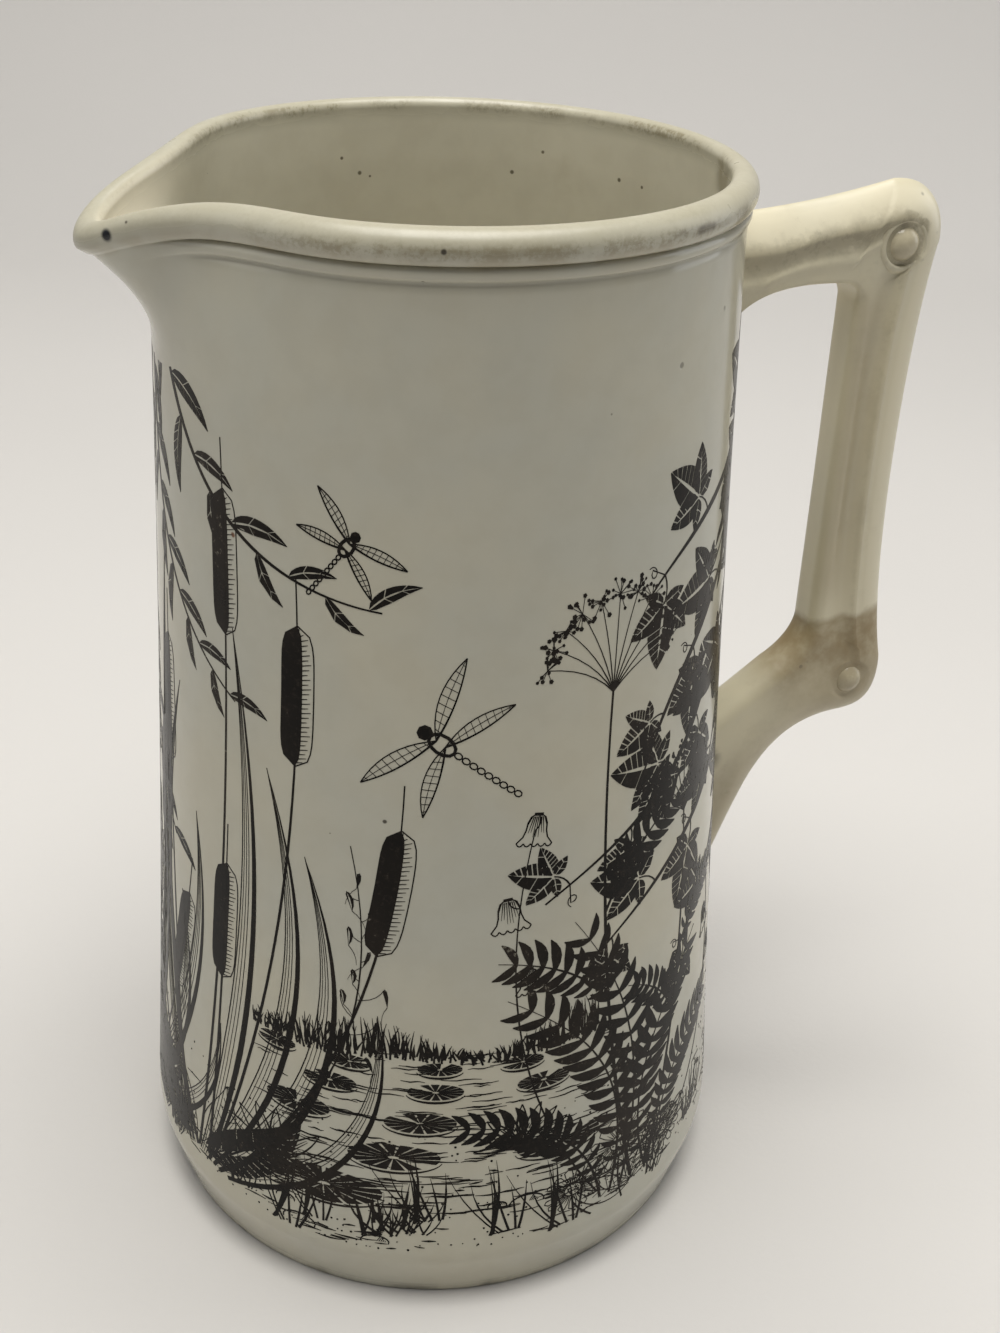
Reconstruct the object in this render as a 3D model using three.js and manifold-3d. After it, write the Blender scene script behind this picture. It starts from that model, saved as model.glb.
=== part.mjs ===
// Earthenware tankard jug in millimetres, +Z up. The origin is the centre of the base, where the
// jug's axis meets the table. The handle points along +X and the pouring lip along -X.
import * as THREE from 'three';
import { mergeVertices } from 'three/addons/utils/BufferGeometryUtils.js';
import Module from 'manifold-3d';

// Body: a tapering wall on a bevelled foot
const HEIGHT = 200;
const FOOT_RADIUS = 54.3;
const BEVEL_RADIUS = 57.85;
const BEVEL_HEIGHT = 12;
const BEVEL_ROUND = 2;
const NECK_RADIUS = 48.2;
const NECK_SAG = 0.9;
const WALL_THICKNESS = 4;
const MOUTH_THICKNESS = 3.3;
const INNER_CORNER = 10;

// Rim: a roll at the top, a flute under it and a thin bead, all within RIM_DEPTH
const RIM_DEPTH = 10.5;
const ROLL_RADIUS = 3;
const ROLL_OVERHANG = 1.3;
const ROLL_UNDERCUT = 0.7;
const FLUTE_DEPTH = 0.5;
const BEAD_RADIUS = 1.1;
const BEAD_DROP = 6.3;
const BEAD_RELIEF = 0.6;

// Lip: the rim drawn out and down on one side
const LIP_REACH = 10.8;
const LIP_DROP = 7.5;
const LIP_DEPTH = 35;
const LIP_EDGE = 4;
const LIP_HALF_ANGLE = 0.23;
const LIP_DROP_ANGLE = 0.21;
const LIP_PINCH = 1.5;
const LIP_PINCH_ANGLE = 0.56;
const LIP_PINCH_HALF_ANGLE = 0.25;
const BEAD_FADE_ANGLE = 0.33;

// Base: a disc let into the foot
const BASE_THICKNESS = 8;
const BASE_RADIUS = 50;
const BASE_EDGE = 0.5;

// Handle: an upper arm, an upright grip and a lower arm that runs down the wall
const FINGER_GAP = 25.3;
const GRIP_DEPTH = 15;
const HANDLE_WIDTH = 10;
const ARM_DROP = 12.9;
const ARM_RISE = 4.5;
const ARM_SAG = 2;
const ARM_DEPTH = 15.1;
const ARM_ARCH = 1.2;
const ARM_FILLET = 17;
const ARM_CORNER_RADIUS = 4;
const ELBOW_FLARE = 2.2;
const ELBOW_RADIUS = 10.5;
const INNER_ELBOW_RADIUS = 8.6;
const LOWER_ARM_HEIGHT = 83;
const LOWER_ARM_RISE = 12.2;
const TAIL_HEIGHT = 34;
const HEEL_HEIGHT = 81.4;
const HEEL_FLARE = 4;
const HEEL_RADIUS = 12;
const CROWN_DEPTH = 6.8;
const ARM_CROWN_FULLNESS = 1.5;
const GRIP_CROWN_FULLNESS = 0.8;
const SLANT_LIMIT = 1.3;
const PANEL_INSET = 0.9;
const BORDER = 2.2;
const BORDER_CHAMFER = 1;

// Bosses: domes in round sinkings on both sides of the handle's two elbows
const BOSS_RADIUS = 3.2;
const BOSS_HEIGHT = 1.9;
const SINKING_RADIUS = 4;
const SINKING_DEPTH = 1;
const SINKING_RIM = 1;
const BOSS_INSET = 9.2;
const BOSS_DROP = 10.9;
const LOWER_BOSS_INSET = 8.4;

// Clearance between pieces that are luted together on curved faces
const JOINT_GAP = 0.3;

// Fineness of the faceted surfaces
const TURNS = 64;
const TURN_EASE = 0.425;
const WALL_ROWS = 4;
const LIP_ROWS = 7;
const BOSS_SIDES = 24;
const BOSS_STEPS = 4;

const wasm = await Module();
wasm.setup();

const GLAZED = { color: 0xcfcdc2, roughness: 0.22, metalness: 0 };
const HANDLE_GLAZE = { color: 0xc6bea3, roughness: 0.25, metalness: 0 };
const BOSS_GLAZE = { color: 0xcac5b2, roughness: 0.22, metalness: 0 };
const BARE = { color: 0xc9c3b1, roughness: 0.7, metalness: 0 };

const NECK_HEIGHT = HEIGHT - RIM_DEPTH;
const ROLL_X = NECK_RADIUS + ROLL_OVERHANG - ROLL_RADIUS;
const ROLL_Z = HEIGHT - ROLL_RADIUS;
const LIP_START = HEIGHT - LIP_DEPTH;

function smooth(t) {
  const c = THREE.MathUtils.clamp(t, 0, 1);
  return c * c * (3 - 2 * c);
}

// Outer radius of the plain wall at height z, slightly hollow between foot and neck, and the inner
// radius of a wall that thins towards the mouth
function wallRadius(z) {
  const t = (z - BEVEL_HEIGHT) / (NECK_HEIGHT - BEVEL_HEIGHT);
  return THREE.MathUtils.lerp(BEVEL_RADIUS, NECK_RADIUS, t) - 4 * NECK_SAG * t * (1 - t);
}

function innerRadius(z) {
  return wallRadius(z) - THREE.MathUtils.lerp(WALL_THICKNESS, MOUTH_THICKNESS, z / NECK_HEIGHT);
}

// Heights of the wall's rows from a to b, closer together where the lip is drawn out
function wallRows(a, b) {
  const rows = [];
  for (let i = 0; i < WALL_ROWS; i += 1) {
    rows.push(THREE.MathUtils.lerp(a, LIP_START, i / WALL_ROWS));
  }
  for (let i = 0; i <= LIP_ROWS; i += 1) {
    rows.push(THREE.MathUtils.lerp(LIP_START, b, i / LIP_ROWS));
  }
  return rows;
}

function arc(x, z, radius, from, to, steps) {
  const points = [];
  for (let i = 0; i <= steps; i += 1) {
    const a = THREE.MathUtils.lerp(from, to, i / steps);
    points.push([x + radius * Math.cos(a), z + radius * Math.sin(a)]);
  }
  return points;
}

// Closed half section of the body as { r, z, relief } rows, up the outside and down the inside.
// The relief of flute and bead is kept apart so that it can fade out at the lip.
function bodyProfile() {
  const rows = [];
  const add = (r, z, relief = 0) => rows.push({ r, z, relief });
  add(BASE_RADIUS, 0);
  add(FOOT_RADIUS - BASE_EDGE, 0);
  add(FOOT_RADIUS, BASE_EDGE);
  const edge = new THREE.QuadraticBezierCurve(
    new THREE.Vector2(
      THREE.MathUtils.lerp(FOOT_RADIUS, BEVEL_RADIUS, 1 - BEVEL_ROUND / BEVEL_HEIGHT),
      BEVEL_HEIGHT - BEVEL_ROUND),
    new THREE.Vector2(BEVEL_RADIUS, BEVEL_HEIGHT),
    new THREE.Vector2(wallRadius(BEVEL_HEIGHT + BEVEL_ROUND), BEVEL_HEIGHT + BEVEL_ROUND));
  edge.getPoints(3).forEach((p) => add(p.x, p.y));
  wallRows(BEVEL_HEIGHT + BEVEL_ROUND, NECK_HEIGHT).slice(1).forEach((z) => add(wallRadius(z), z));
  const beadZ = HEIGHT - BEAD_DROP;
  const plain = NECK_RADIUS;
  add(plain, beadZ - 2 * BEAD_RADIUS, 0);
  arc(0, beadZ, BEAD_RADIUS, -0.4 * Math.PI, 0.4 * Math.PI, 4)
    .forEach(([x, z]) => add(plain, z, BEAD_RELIEF - BEAD_RADIUS + x));
  const roll = arc(ROLL_X, ROLL_Z, ROLL_RADIUS, -ROLL_UNDERCUT, Math.PI / 2, 8);
  add(plain, (beadZ + BEAD_RADIUS + roll[0][1]) / 2, -FLUTE_DEPTH);
  roll.forEach(([x, z]) => add(x, z));
  const mouth = innerRadius(NECK_HEIGHT);
  const inside = ROLL_X - mouth;
  arc(ROLL_X, HEIGHT - inside, inside, Math.PI * 0.625, Math.PI, 3).forEach(([x, z]) => add(x, z));
  add(mouth, NECK_HEIGHT + RIM_DEPTH / 2);
  const floor = BASE_THICKNESS + INNER_CORNER;
  wallRows(floor, NECK_HEIGHT).reverse().forEach((z) => add(innerRadius(z), z));
  const heel = innerRadius(floor);
  const corner = new THREE.QuadraticBezierCurve(
    new THREE.Vector2(heel, floor),
    new THREE.Vector2(heel, BASE_THICKNESS),
    new THREE.Vector2(BASE_RADIUS, BASE_THICKNESS));
  corner.getPoints(4).slice(1).forEach((p) => add(p.x, p.y));
  return rows;
}

// Moves a row of the section outwards and down according to its turn from the lip's direction
function drawnOut(row, turn) {
  const swell = Math.exp(-((turn / LIP_HALF_ANGLE) ** 2));
  const pinch = Math.exp(-(((Math.abs(turn) - LIP_PINCH_ANGLE) / LIP_PINCH_HALF_ANGLE) ** 2));
  const sink = Math.cos(turn / 2) ** 2 / (1 + (turn / LIP_DROP_ANGLE) ** 2);
  const fade = 1 - Math.exp(-((turn / BEAD_FADE_ANGLE) ** 4));
  const t = THREE.MathUtils.clamp((row.z - LIP_START) / (HEIGHT - LIP_EDGE - LIP_START), 0, 1);
  const r = row.r + row.relief * fade + (LIP_REACH * swell - LIP_PINCH * pinch) * t ** 3;
  return { r, z: row.z - LIP_DROP * sink * smooth(t) };
}

// Closed ring-shaped surface from rows of points: each row is one turn, rows close on themselves
function ringSurface(rows) {
  const count = rows[0].length;
  const positions = rows.flat(2);
  const index = [];
  for (let i = 0; i < rows.length; i += 1) {
    const next = (i + 1) % rows.length;
    for (let j = 0; j < count; j += 1) {
      const right = (j + 1) % count;
      const a = i * count + j;
      const b = i * count + right;
      const c = next * count + right;
      const d = next * count + j;
      index.push(a, b, c, a, c, d);
    }
  }
  const geometry = new THREE.BufferGeometry();
  geometry.setAttribute('position', new THREE.Float32BufferAttribute(positions, 3));
  geometry.setIndex(index);
  geometry.computeVertexNormals();
  return geometry;
}

function bodyWall() {
  const profile = bodyProfile();
  const rows = profile.map((row) => {
    const ring = [];
    for (let k = 0; k < TURNS; k += 1) {
      const u = (2 * Math.PI * k) / TURNS;
      const angle = u + TURN_EASE * Math.sin(u);
      const p = drawnOut(row, angle - Math.PI);
      ring.push([p.r * Math.cos(angle), p.r * Math.sin(angle), p.z]);
    }
    return ring;
  });
  return ringSurface(rows);
}

// Turns a lathe about three's Y axis so that its axis is Z
function latheUp(points, segments) {
  const geometry = new THREE.LatheGeometry(points.map(([r, z]) => new THREE.Vector2(r, z)), segments);
  geometry.rotateX(Math.PI / 2);
  return geometry;
}

function baseDisc() {
  const radius = BASE_RADIUS - JOINT_GAP;
  return latheUp([
    [0, 0],
    [radius - BASE_EDGE, 0],
    [radius, BASE_EDGE],
    [radius, BASE_THICKNESS - BASE_EDGE],
    [radius - BASE_EDGE, BASE_THICKNESS],
    [0, BASE_THICKNESS],
  ], TURNS);
}

function toSolid(geometry) {
  const bare = geometry.clone();
  bare.deleteAttribute('normal');
  bare.deleteAttribute('uv');
  const merged = mergeVertices(bare);
  return new wasm.Manifold(new wasm.Mesh({
    numProp: 3,
    vertProperties: new Float32Array(merged.attributes.position.array),
    triVerts: new Uint32Array(merged.index.array),
  }));
}

function toGeometry(solid) {
  const mesh = solid.getMesh();
  const geometry = new THREE.BufferGeometry();
  geometry.setAttribute('position', new THREE.BufferAttribute(mesh.vertProperties, 3));
  geometry.setIndex(new THREE.BufferAttribute(mesh.triVerts, 1));
  geometry.computeVertexNormals();
  return geometry;
}

const v2 = (x, z) => new THREE.Vector2(x, z);
const line = (a, b) => new THREE.LineCurve(a, b);
const bend = (a, b, c) => new THREE.QuadraticBezierCurve(a, b, c);
const sweepCurve = (a, b, c, d) => new THREE.CubicBezierCurve(a, b, c, d);

const GRIP_INNER = wallRadius(LOWER_ARM_HEIGHT) + FINGER_GAP - JOINT_GAP;
const GRIP_OUTER = GRIP_INNER + GRIP_DEPTH;
const ARM_TOP = HEIGHT - ARM_DROP;
const ELBOW_X = GRIP_OUTER + ELBOW_FLARE;
const ELBOW_Z = ARM_TOP + ARM_RISE;
const HEEL_X = GRIP_OUTER + HEEL_FLARE;
const ROOT_INSET = WALL_THICKNESS / 2;

// The handle's outer outline in the XZ plane, as five runs from the upper root to the tail
function outerRail() {
  const root = v2(wallRadius(ARM_TOP) - ROOT_INSET, ARM_TOP);
  const top = v2(ELBOW_X - ELBOW_RADIUS, ELBOW_Z);
  const side = v2(ELBOW_X, ELBOW_Z - ELBOW_RADIUS);
  const heelSide = v2(HEEL_X, HEEL_HEIGHT + HEEL_RADIUS);
  const heelBottom = v2(HEEL_X - 0.7 * HEEL_RADIUS, HEEL_HEIGHT);
  const grip = side.y - heelSide.y;
  const tail = v2(wallRadius(TAIL_HEIGHT) - ROOT_INSET, TAIL_HEIGHT);
  const run = heelBottom.x - tail.x;
  const fall = HEEL_HEIGHT - TAIL_HEIGHT;
  return [
    bend(root, v2((root.x + top.x) / 2, (root.y + top.y) / 2 - ARM_SAG), top),
    bend(top, v2(ELBOW_X, ELBOW_Z), side),
    sweepCurve(side, v2(ELBOW_X - ELBOW_FLARE * 1.5, side.y - grip / 5),
      v2(GRIP_OUTER - HEEL_FLARE / 2, heelSide.y + grip / 4), heelSide),
    bend(heelSide, v2(HEEL_X + ELBOW_FLARE / 2, HEEL_HEIGHT), heelBottom),
    sweepCurve(heelBottom, v2(tail.x + run * 0.42, HEEL_HEIGHT - fall * 0.02),
      v2(tail.x + run * 0.42, TAIL_HEIGHT + fall * 0.71), tail),
  ];
}

// The outline that faces the fingers, in five matching runs
function innerRail() {
  const under = ARM_TOP + ARM_RISE / 2 - ARM_DEPTH;
  const armEnd = v2(GRIP_INNER - ARM_CORNER_RADIUS, under);
  const fillet = v2(wallRadius(under) - ROOT_INSET, under - ARM_FILLET);
  const gripTop = v2(GRIP_INNER, armEnd.y - ARM_CORNER_RADIUS);
  const lowerEnd = v2(GRIP_INNER - 0.8 * INNER_ELBOW_RADIUS, LOWER_ARM_HEIGHT + LOWER_ARM_RISE);
  const gripFoot = v2(GRIP_INNER, lowerEnd.y + INNER_ELBOW_RADIUS);
  const root = v2(wallRadius(LOWER_ARM_HEIGHT) - ROOT_INSET, LOWER_ARM_HEIGHT - ROOT_INSET);
  const arm = armEnd.x - fillet.x;
  return [
    sweepCurve(fillet, v2(fillet.x + arm * 0.13, under - ARM_FILLET * 0.25),
      v2(fillet.x + arm * 0.3, under + ARM_ARCH), armEnd),
    bend(armEnd, v2(GRIP_INNER, armEnd.y), gripTop),
    line(gripTop, gripFoot),
    bend(gripFoot, v2(GRIP_INNER, lowerEnd.y + INNER_ELBOW_RADIUS * 0.45), lowerEnd),
    line(lowerEnd, root),
  ];
}

// Half of the handle's section as [from the outer edge or the inner one, distance, half width]:
// a crown outside, from two soft slopes above a fullness of 1 to a rounded square below it, a sunk
// panel on each side and a raised border at the fingers
function handleSection(fullness) {
  const half = HANDLE_WIDTH / 2;
  const panel = half - PANEL_INSET;
  const crown = [];
  const steps = 5;
  for (let i = 0; i <= steps; i += 1) {
    const a = (Math.PI / 2) * (i / steps);
    const fall = Math.max(Math.cos(a), 0) ** fullness;
    crown.push(['outer', CROWN_DEPTH * (1 - fall), half * Math.sin(a) ** fullness]);
  }
  return [
    ...crown,
    ['outer', CROWN_DEPTH + PANEL_INSET, panel],
    ['inner', BORDER + PANEL_INSET, panel],
    ['inner', BORDER, half - PANEL_INSET / 2],
    ['inner', BORDER_CHAMFER, half - PANEL_INSET / 2],
    ['inner', 0, half - PANEL_INSET / 2 - BORDER_CHAMFER],
  ];
}

// How much longer a distance square to a rail is when measured along a slanting section, up to
// the limit that keeps the section whole where the tail runs down the wall
function slant(curve, t, along) {
  const tangent = curve.getTangent(t);
  const square = Math.abs(along.x * tangent.y - along.y * tangent.x);
  return 1 / Math.max(square, 1 / SLANT_LIMIT);
}

function handleBlank() {
  const counts = [7, 7, 9, 7, 12];
  const outer = outerRail();
  const inner = innerRail();
  const rings = [];
  outer.forEach((curve, s) => {
    for (let i = s === 0 ? 0 : 1; i <= counts[s]; i += 1) {
      const o = curve.getPoint(i / counts[s]);
      const n = inner[s].getPoint(i / counts[s]);
      const along = o.clone().sub(n).normalize();
      const down = slant(curve, i / counts[s], along);
      const up = slant(inner[s], i / counts[s], along);
      // the crown rounds off over the elbow, between the arm and the grip
      const rounding = THREE.MathUtils.smoothstep(s + i / counts[s], 1, 2);
      const half = handleSection(
        THREE.MathUtils.lerp(ARM_CROWN_FULLNESS, GRIP_CROWN_FULLNESS, rounding),
      );
      const section = [...half, ...half.slice(1).reverse().map(([from, d, y]) => [from, d, -y])];
      rings.push(section.map(([from, d, y]) => {
        const p = from === 'outer'
          ? o.clone().addScaledVector(along, -d * down)
          : n.clone().addScaledVector(along, d * up);
        return [p.x, y, p.y];
      }));
    }
  });
  return cappedSweep(rings);
}

// Solid through a run of rings, each closed by a fan at its two ends
function cappedSweep(rings) {
  const count = rings[0].length;
  const positions = rings.flat(2);
  const index = [];
  for (let i = 0; i + 1 < rings.length; i += 1) {
    for (let j = 0; j < count; j += 1) {
      const right = (j + 1) % count;
      const a = i * count + j;
      const b = i * count + right;
      const c = (i + 1) * count + right;
      const d = (i + 1) * count + j;
      index.push(a, c, b, a, d, c);
    }
  }
  [0, rings.length - 1].forEach((row) => {
    const base = row * count;
    const [x0, , z0] = rings[row][0];
    const outline = rings[row].map(([x, y, z]) => v2(y, Math.hypot(x - x0, z - z0)));
    THREE.ShapeUtils.triangulateShape(outline, []).forEach(([a, b, c]) => {
      const face = [base + a, base + b, base + c];
      index.push(...(row === 0 ? face : face.reverse()));
    });
  });
  const geometry = new THREE.BufferGeometry();
  geometry.setAttribute('position', new THREE.Float32BufferAttribute(positions, 3));
  geometry.setIndex(index);
  return geometry;
}

// The wall's outside grown by the joint gap, as a solid that trims what is luted to it
function wallCutter() {
  const low = TAIL_HEIGHT - RIM_DEPTH;
  const rows = wallRows(low, NECK_HEIGHT);
  const grow = 1 / Math.cos(Math.PI / TURNS);
  const points = rows.map((z) => [(wallRadius(z) + JOINT_GAP) * grow, z]);
  return latheUp([[0, low], ...points, [0, NECK_HEIGHT]], TURNS);
}

const UPPER_BOSS = v2(ELBOW_X - BOSS_INSET, ELBOW_Z - BOSS_DROP);
const LOWER_BOSS = v2(HEEL_X - LOWER_BOSS_INSET, HEEL_HEIGHT + LOWER_BOSS_INSET);

// Cylinder across the handle between two distances from its middle plane
function crossPin(centre, radius, from, to) {
  const geometry = new THREE.CylinderGeometry(radius, radius, to - from, BOSS_SIDES);
  geometry.translate(centre.x, (from + to) / 2, centre.y);
  return toSolid(geometry);
}

function handle() {
  const half = HANDLE_WIDTH / 2;
  const floor = half - SINKING_DEPTH;
  let solid = toSolid(handleBlank());
  [UPPER_BOSS, LOWER_BOSS].forEach((centre) => {
    solid = solid.add(crossPin(centre, SINKING_RADIUS + SINKING_RIM, -half, half));
    solid = solid.subtract(crossPin(centre, SINKING_RADIUS, floor, HANDLE_WIDTH));
    solid = solid.subtract(crossPin(centre, SINKING_RADIUS, -HANDLE_WIDTH, -floor));
  });
  return toGeometry(solid.subtract(toSolid(wallCutter())));
}

// Low dome on its flat seat, standing along +Y
function bossDome() {
  const sphere = (BOSS_RADIUS ** 2 + BOSS_HEIGHT ** 2) / (2 * BOSS_HEIGHT);
  const spread = Math.asin(BOSS_RADIUS / sphere);
  const points = [v2(0, 0)];
  for (let i = 0; i <= BOSS_STEPS; i += 1) {
    const a = spread * (1 - i / BOSS_STEPS);
    points.push(v2(sphere * Math.sin(a), BOSS_HEIGHT - sphere * (1 - Math.cos(a))));
  }
  points[points.length - 1].x = 0;
  points[1].y = 0;
  return new THREE.LatheGeometry(points, BOSS_SIDES);
}

function addMesh(group, name, geometry, look) {
  const mesh = new THREE.Mesh(geometry, new THREE.MeshStandardMaterial(look));
  mesh.name = name;
  group.add(mesh);
  return mesh;
}

const group = new THREE.Group();
addMesh(group, 'body_wall', bodyWall(), GLAZED);
addMesh(group, 'base_disc', baseDisc(), BARE);
addMesh(group, 'handle', handle(), HANDLE_GLAZE);

const seat = HANDLE_WIDTH / 2 - SINKING_DEPTH;
[
  ['boss_upper_left', UPPER_BOSS, -1],
  ['boss_upper_right', UPPER_BOSS, 1],
  ['boss_lower_left', LOWER_BOSS, -1],
  ['boss_lower_right', LOWER_BOSS, 1],
].forEach(([name, centre, side]) => {
  const mesh = addMesh(group, name, bossDome(), BOSS_GLAZE);
  mesh.position.set(centre.x, side * seat, centre.y);
  mesh.rotation.z = side < 0 ? Math.PI : 0;
});

export default group;
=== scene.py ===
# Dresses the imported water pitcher: a pale glazed earthenware jug with a brown transfer pattern.
# Lengths are in metres unless a name ends in _MM or _mm. Profiles, outlines and the print are worked out in
# millimetres, and mesh_from turns them into metres. Z is up, the handle points along +X and the lip along -X.
import math
import random

import bmesh
import bpy
from mathutils import Matrix, Vector
from mathutils.geometry import tessellate_polygon


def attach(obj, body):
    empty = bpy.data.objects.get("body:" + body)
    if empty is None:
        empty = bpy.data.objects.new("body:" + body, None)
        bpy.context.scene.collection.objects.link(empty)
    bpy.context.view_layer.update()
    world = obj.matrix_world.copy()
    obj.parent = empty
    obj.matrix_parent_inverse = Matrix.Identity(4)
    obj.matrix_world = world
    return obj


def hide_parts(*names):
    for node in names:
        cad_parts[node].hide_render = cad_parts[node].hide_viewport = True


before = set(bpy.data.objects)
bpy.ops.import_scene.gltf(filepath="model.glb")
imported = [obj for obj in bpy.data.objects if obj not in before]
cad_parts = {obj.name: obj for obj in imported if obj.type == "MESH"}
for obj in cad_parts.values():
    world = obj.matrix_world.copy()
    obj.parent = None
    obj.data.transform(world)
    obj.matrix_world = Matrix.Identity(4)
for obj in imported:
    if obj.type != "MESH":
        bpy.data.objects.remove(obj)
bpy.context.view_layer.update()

bl_info = {
    "name": "Water pitcher",
    "version": (1, 0, 0),
    "blender": (4, 5, 0),
    "location": "View3D > Sidebar > Pitcher",
    "description": "Makes a glazed tankard jug with a drawn lip, a cast handle and a transfer pattern",
    "category": "Add Mesh",
}

MM = 0.001
MERGE = 1e-6
BODY = "root"

# The wall and its mouldings, in millimetres
FOOT_MM = 54.3
BEVEL_MM = 57.82
BEVEL_TOP_MM = 12.0
BEVEL_ROUND_MM = 2.0
NECK_MM = 48.2
NECK_TOP_MM = 189.5
SAG_MM = 0.9
WALL_MM = 4.0
MOUTH_MM = 3.3
FLOOR_MM = 8.0
CORNER_MM = 10.0
BASE_MM = 50.0
TOP_MM = 200.0
ROLL_MM = 3.0
ROLL_X_MM = 46.5
ROLL_UNDERCUT = 0.7
LIP_FULL_MM = 196.0
BEAD_Z_MM = 193.7
BEAD_MM = 1.1
BEAD_RELIEF_MM = 0.6
FLUTE_MM = 0.5
EDGE_MM = 0.6

# The handle's outline, in millimetres
GRIP_IN_MM = 78.1
GRIP_OUT_MM = 93.1
ARM_TOP_MM = 187.1
ARM_RISE_MM = 4.5
ARM_SAG_MM = 2.0
ARM_DEPTH_MM = 15.1
ARM_ARCH_MM = 1.2
ARM_FILLET_MM = 17.0
ARM_CORNER_MM = 4.0
ELBOW_X_MM = 95.3
ELBOW_Z_MM = 191.6
ELBOW_FLARE_MM = 2.2
ELBOW_MM = 10.5
INNER_ELBOW_MM = 8.6
LOWER_MM = 83.0
LOWER_RISE_MM = 12.2
TAIL_MM = 34.0
HEEL_X_MM = 97.1
HEEL_Z_MM = 81.4
HEEL_FLARE_MM = 4.0
HEEL_MM = 12.0
CROWN_MM = 6.8
ARM_CROWN_FULLNESS = 1.5
GRIP_CROWN_FULLNESS = 0.8
SLANT_LIMIT = 1.3
ROOT_MM = 2.0
BOSSES_MM = {"upper": (86.1, 180.7), "lower": (88.7, 89.8)}
BOSS_MM = 3.2
BOSS_RISE_MM = 1.9
SINKING_MM = 4.0
GRIP_MIDDLE_MM = 136.0
SINKING_DEEP_MM = 1.0
RING_MM = 1.0
UPPER_SINKING_SHARE = 0.58
LOWER_SINKING_SHARE = 0.45
LUTE_FLARE = 0.22
LUTE_MM = 2.6

RING_GRIME = 0.15
RING_ROOT_MM = 0.6
RING_ROUND_MM = 0.4
RING_CREST_MM = 0.45
RING_SKIRT_MM = 0.9
UPPER_RING_SET_MM = 0.2
LOWER_RING_SET_MM = 0.4
SINKING_EDGE_MM = 0.6
# The reach of the grime round the upper sinkings and how much further it reaches above them; part of it is
# painted shade
SINKING_GRIME_AND_SHADE_MM = 1.2
GRIME_AND_SHADE_ABOVE_MM = 1.8
# Steps in the five runs of the handle's outline: arm, upper elbow, grip, heel and tail
RUNS = (84, 34, 150, 40, 110)

# Steps round the turned pieces, the easing that draws the wall's columns together at the lip, and the base
# disc's gap to the wall, its rounded edges and the shares of its radius at which its faces are divided
BASE_STEPS = 192
ROUND_STEPS = 64
COLUMN_EASE = 0.30
BASE_GAP_MM = 0.02
BASE_ROUND_MM = 0.8
BASE_EDGE_MM = 0.3
BASE_RINGS = (0.35, 0.7, 0.9)

# The print: the radius that its flat width is drawn for, its lower edge, how deep its film is set in the
# glaze, the seed of its random draws and the angle in radians above which an edge of the film is shaded sharp
WRAP_MM = 53.0
HALF_TURN_MM = math.pi * WRAP_MM
PRINT_LOW_MM = 15.0
PRINT_SINK_MM = 0.04
PRINT_SEED = 11
SHARP_ANGLE = 0.6

GLAZE_IOR = 1.5
INK_IOR = 1.2

# The camera, fitted to the photograph, and the level directions across its view and away from it
CAMERA_AT = (-0.09267, -0.25462, 0.25694)
CAMERA_RIGHT = (0.93141, -0.36237, 0.03425)
CAMERA_UP = (0.14874, 0.46481, 0.87283)
CAMERA_AHEAD = (0.33220, 0.80786, -0.48682)
CAMERA_LENS = 44.607
VIEW_SIDE = Vector((0.92487, -0.38029, 0.0))
VIEW_AWAY = Vector((0.38029, 0.92487, 0.0))

# The studio in metres: the paper's level run, its bend and its top, then each light's name, place across the
# view, away and up, width, height, power and tone
SWEEP_RUN = (-1.6, -0.6, 0.2, 0.62)
SWEEP_BEND = 0.5
SWEEP_RISE = (0.8, 1.6)
SWEEP_ACROSS = (-1.8, -0.6, 0.6, 1.8)
LIGHTS = (
    ("overhead_box", (-0.01, -0.08, 1.3), 0.9, 0.9, 20.0, (1.0, 0.985, 0.95)),
    ("left_panel", (-1.2, -0.10, 0.75), 0.8, 1.0, 1.6, (1.0, 0.98, 0.95)),
    ("right_panel", (1.2, 0.35, 0.5), 0.7, 1.0, 3.3, (0.96, 0.98, 1.0)),
)
LIT_POINT = Vector((0, 0, 0.10))
WORLD_TONE = (0.95, 0.97, 1.0, 1)
WORLD_STRENGTH = 0.12


def clamp(t):
    return max(0.0, min(1.0, t))


def lerp(a, b, t):
    return a + (b - a) * t


def smooth(t):
    t = clamp(t)
    return t * t * (3 - 2 * t)


def wall_mm(z):
    """Outer radius of the plain wall at a height."""
    t = (z - BEVEL_TOP_MM) / (NECK_TOP_MM - BEVEL_TOP_MM)
    return lerp(BEVEL_MM, NECK_MM, t) - 4 * SAG_MM * t * (1 - t)


def inner_mm(z):
    """Inner radius of the wall, which thins towards the mouth."""
    return wall_mm(z) - lerp(WALL_MM, MOUTH_MM, z / NECK_TOP_MM)


def bump(t, centre, width):
    return math.exp(-((t - centre) / width) ** 2)


def spread(a, b, count):
    return [lerp(a, b, i / count) for i in range(count + 1)]


def length(name, value, note):
    return bpy.props.FloatProperty(name=name, description=note, default=value, min=0, precision=5,
                                   subtype="DISTANCE", unit="LENGTH")


def angle(name, value, note):
    return bpy.props.FloatProperty(name=name, description=note, default=value, subtype="ANGLE",
                                   unit="ROTATION")


def colour(name, value, note):
    return bpy.props.FloatVectorProperty(name=name, description=note, default=value, size=3, min=0, max=1,
                                         subtype="COLOR")


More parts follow.
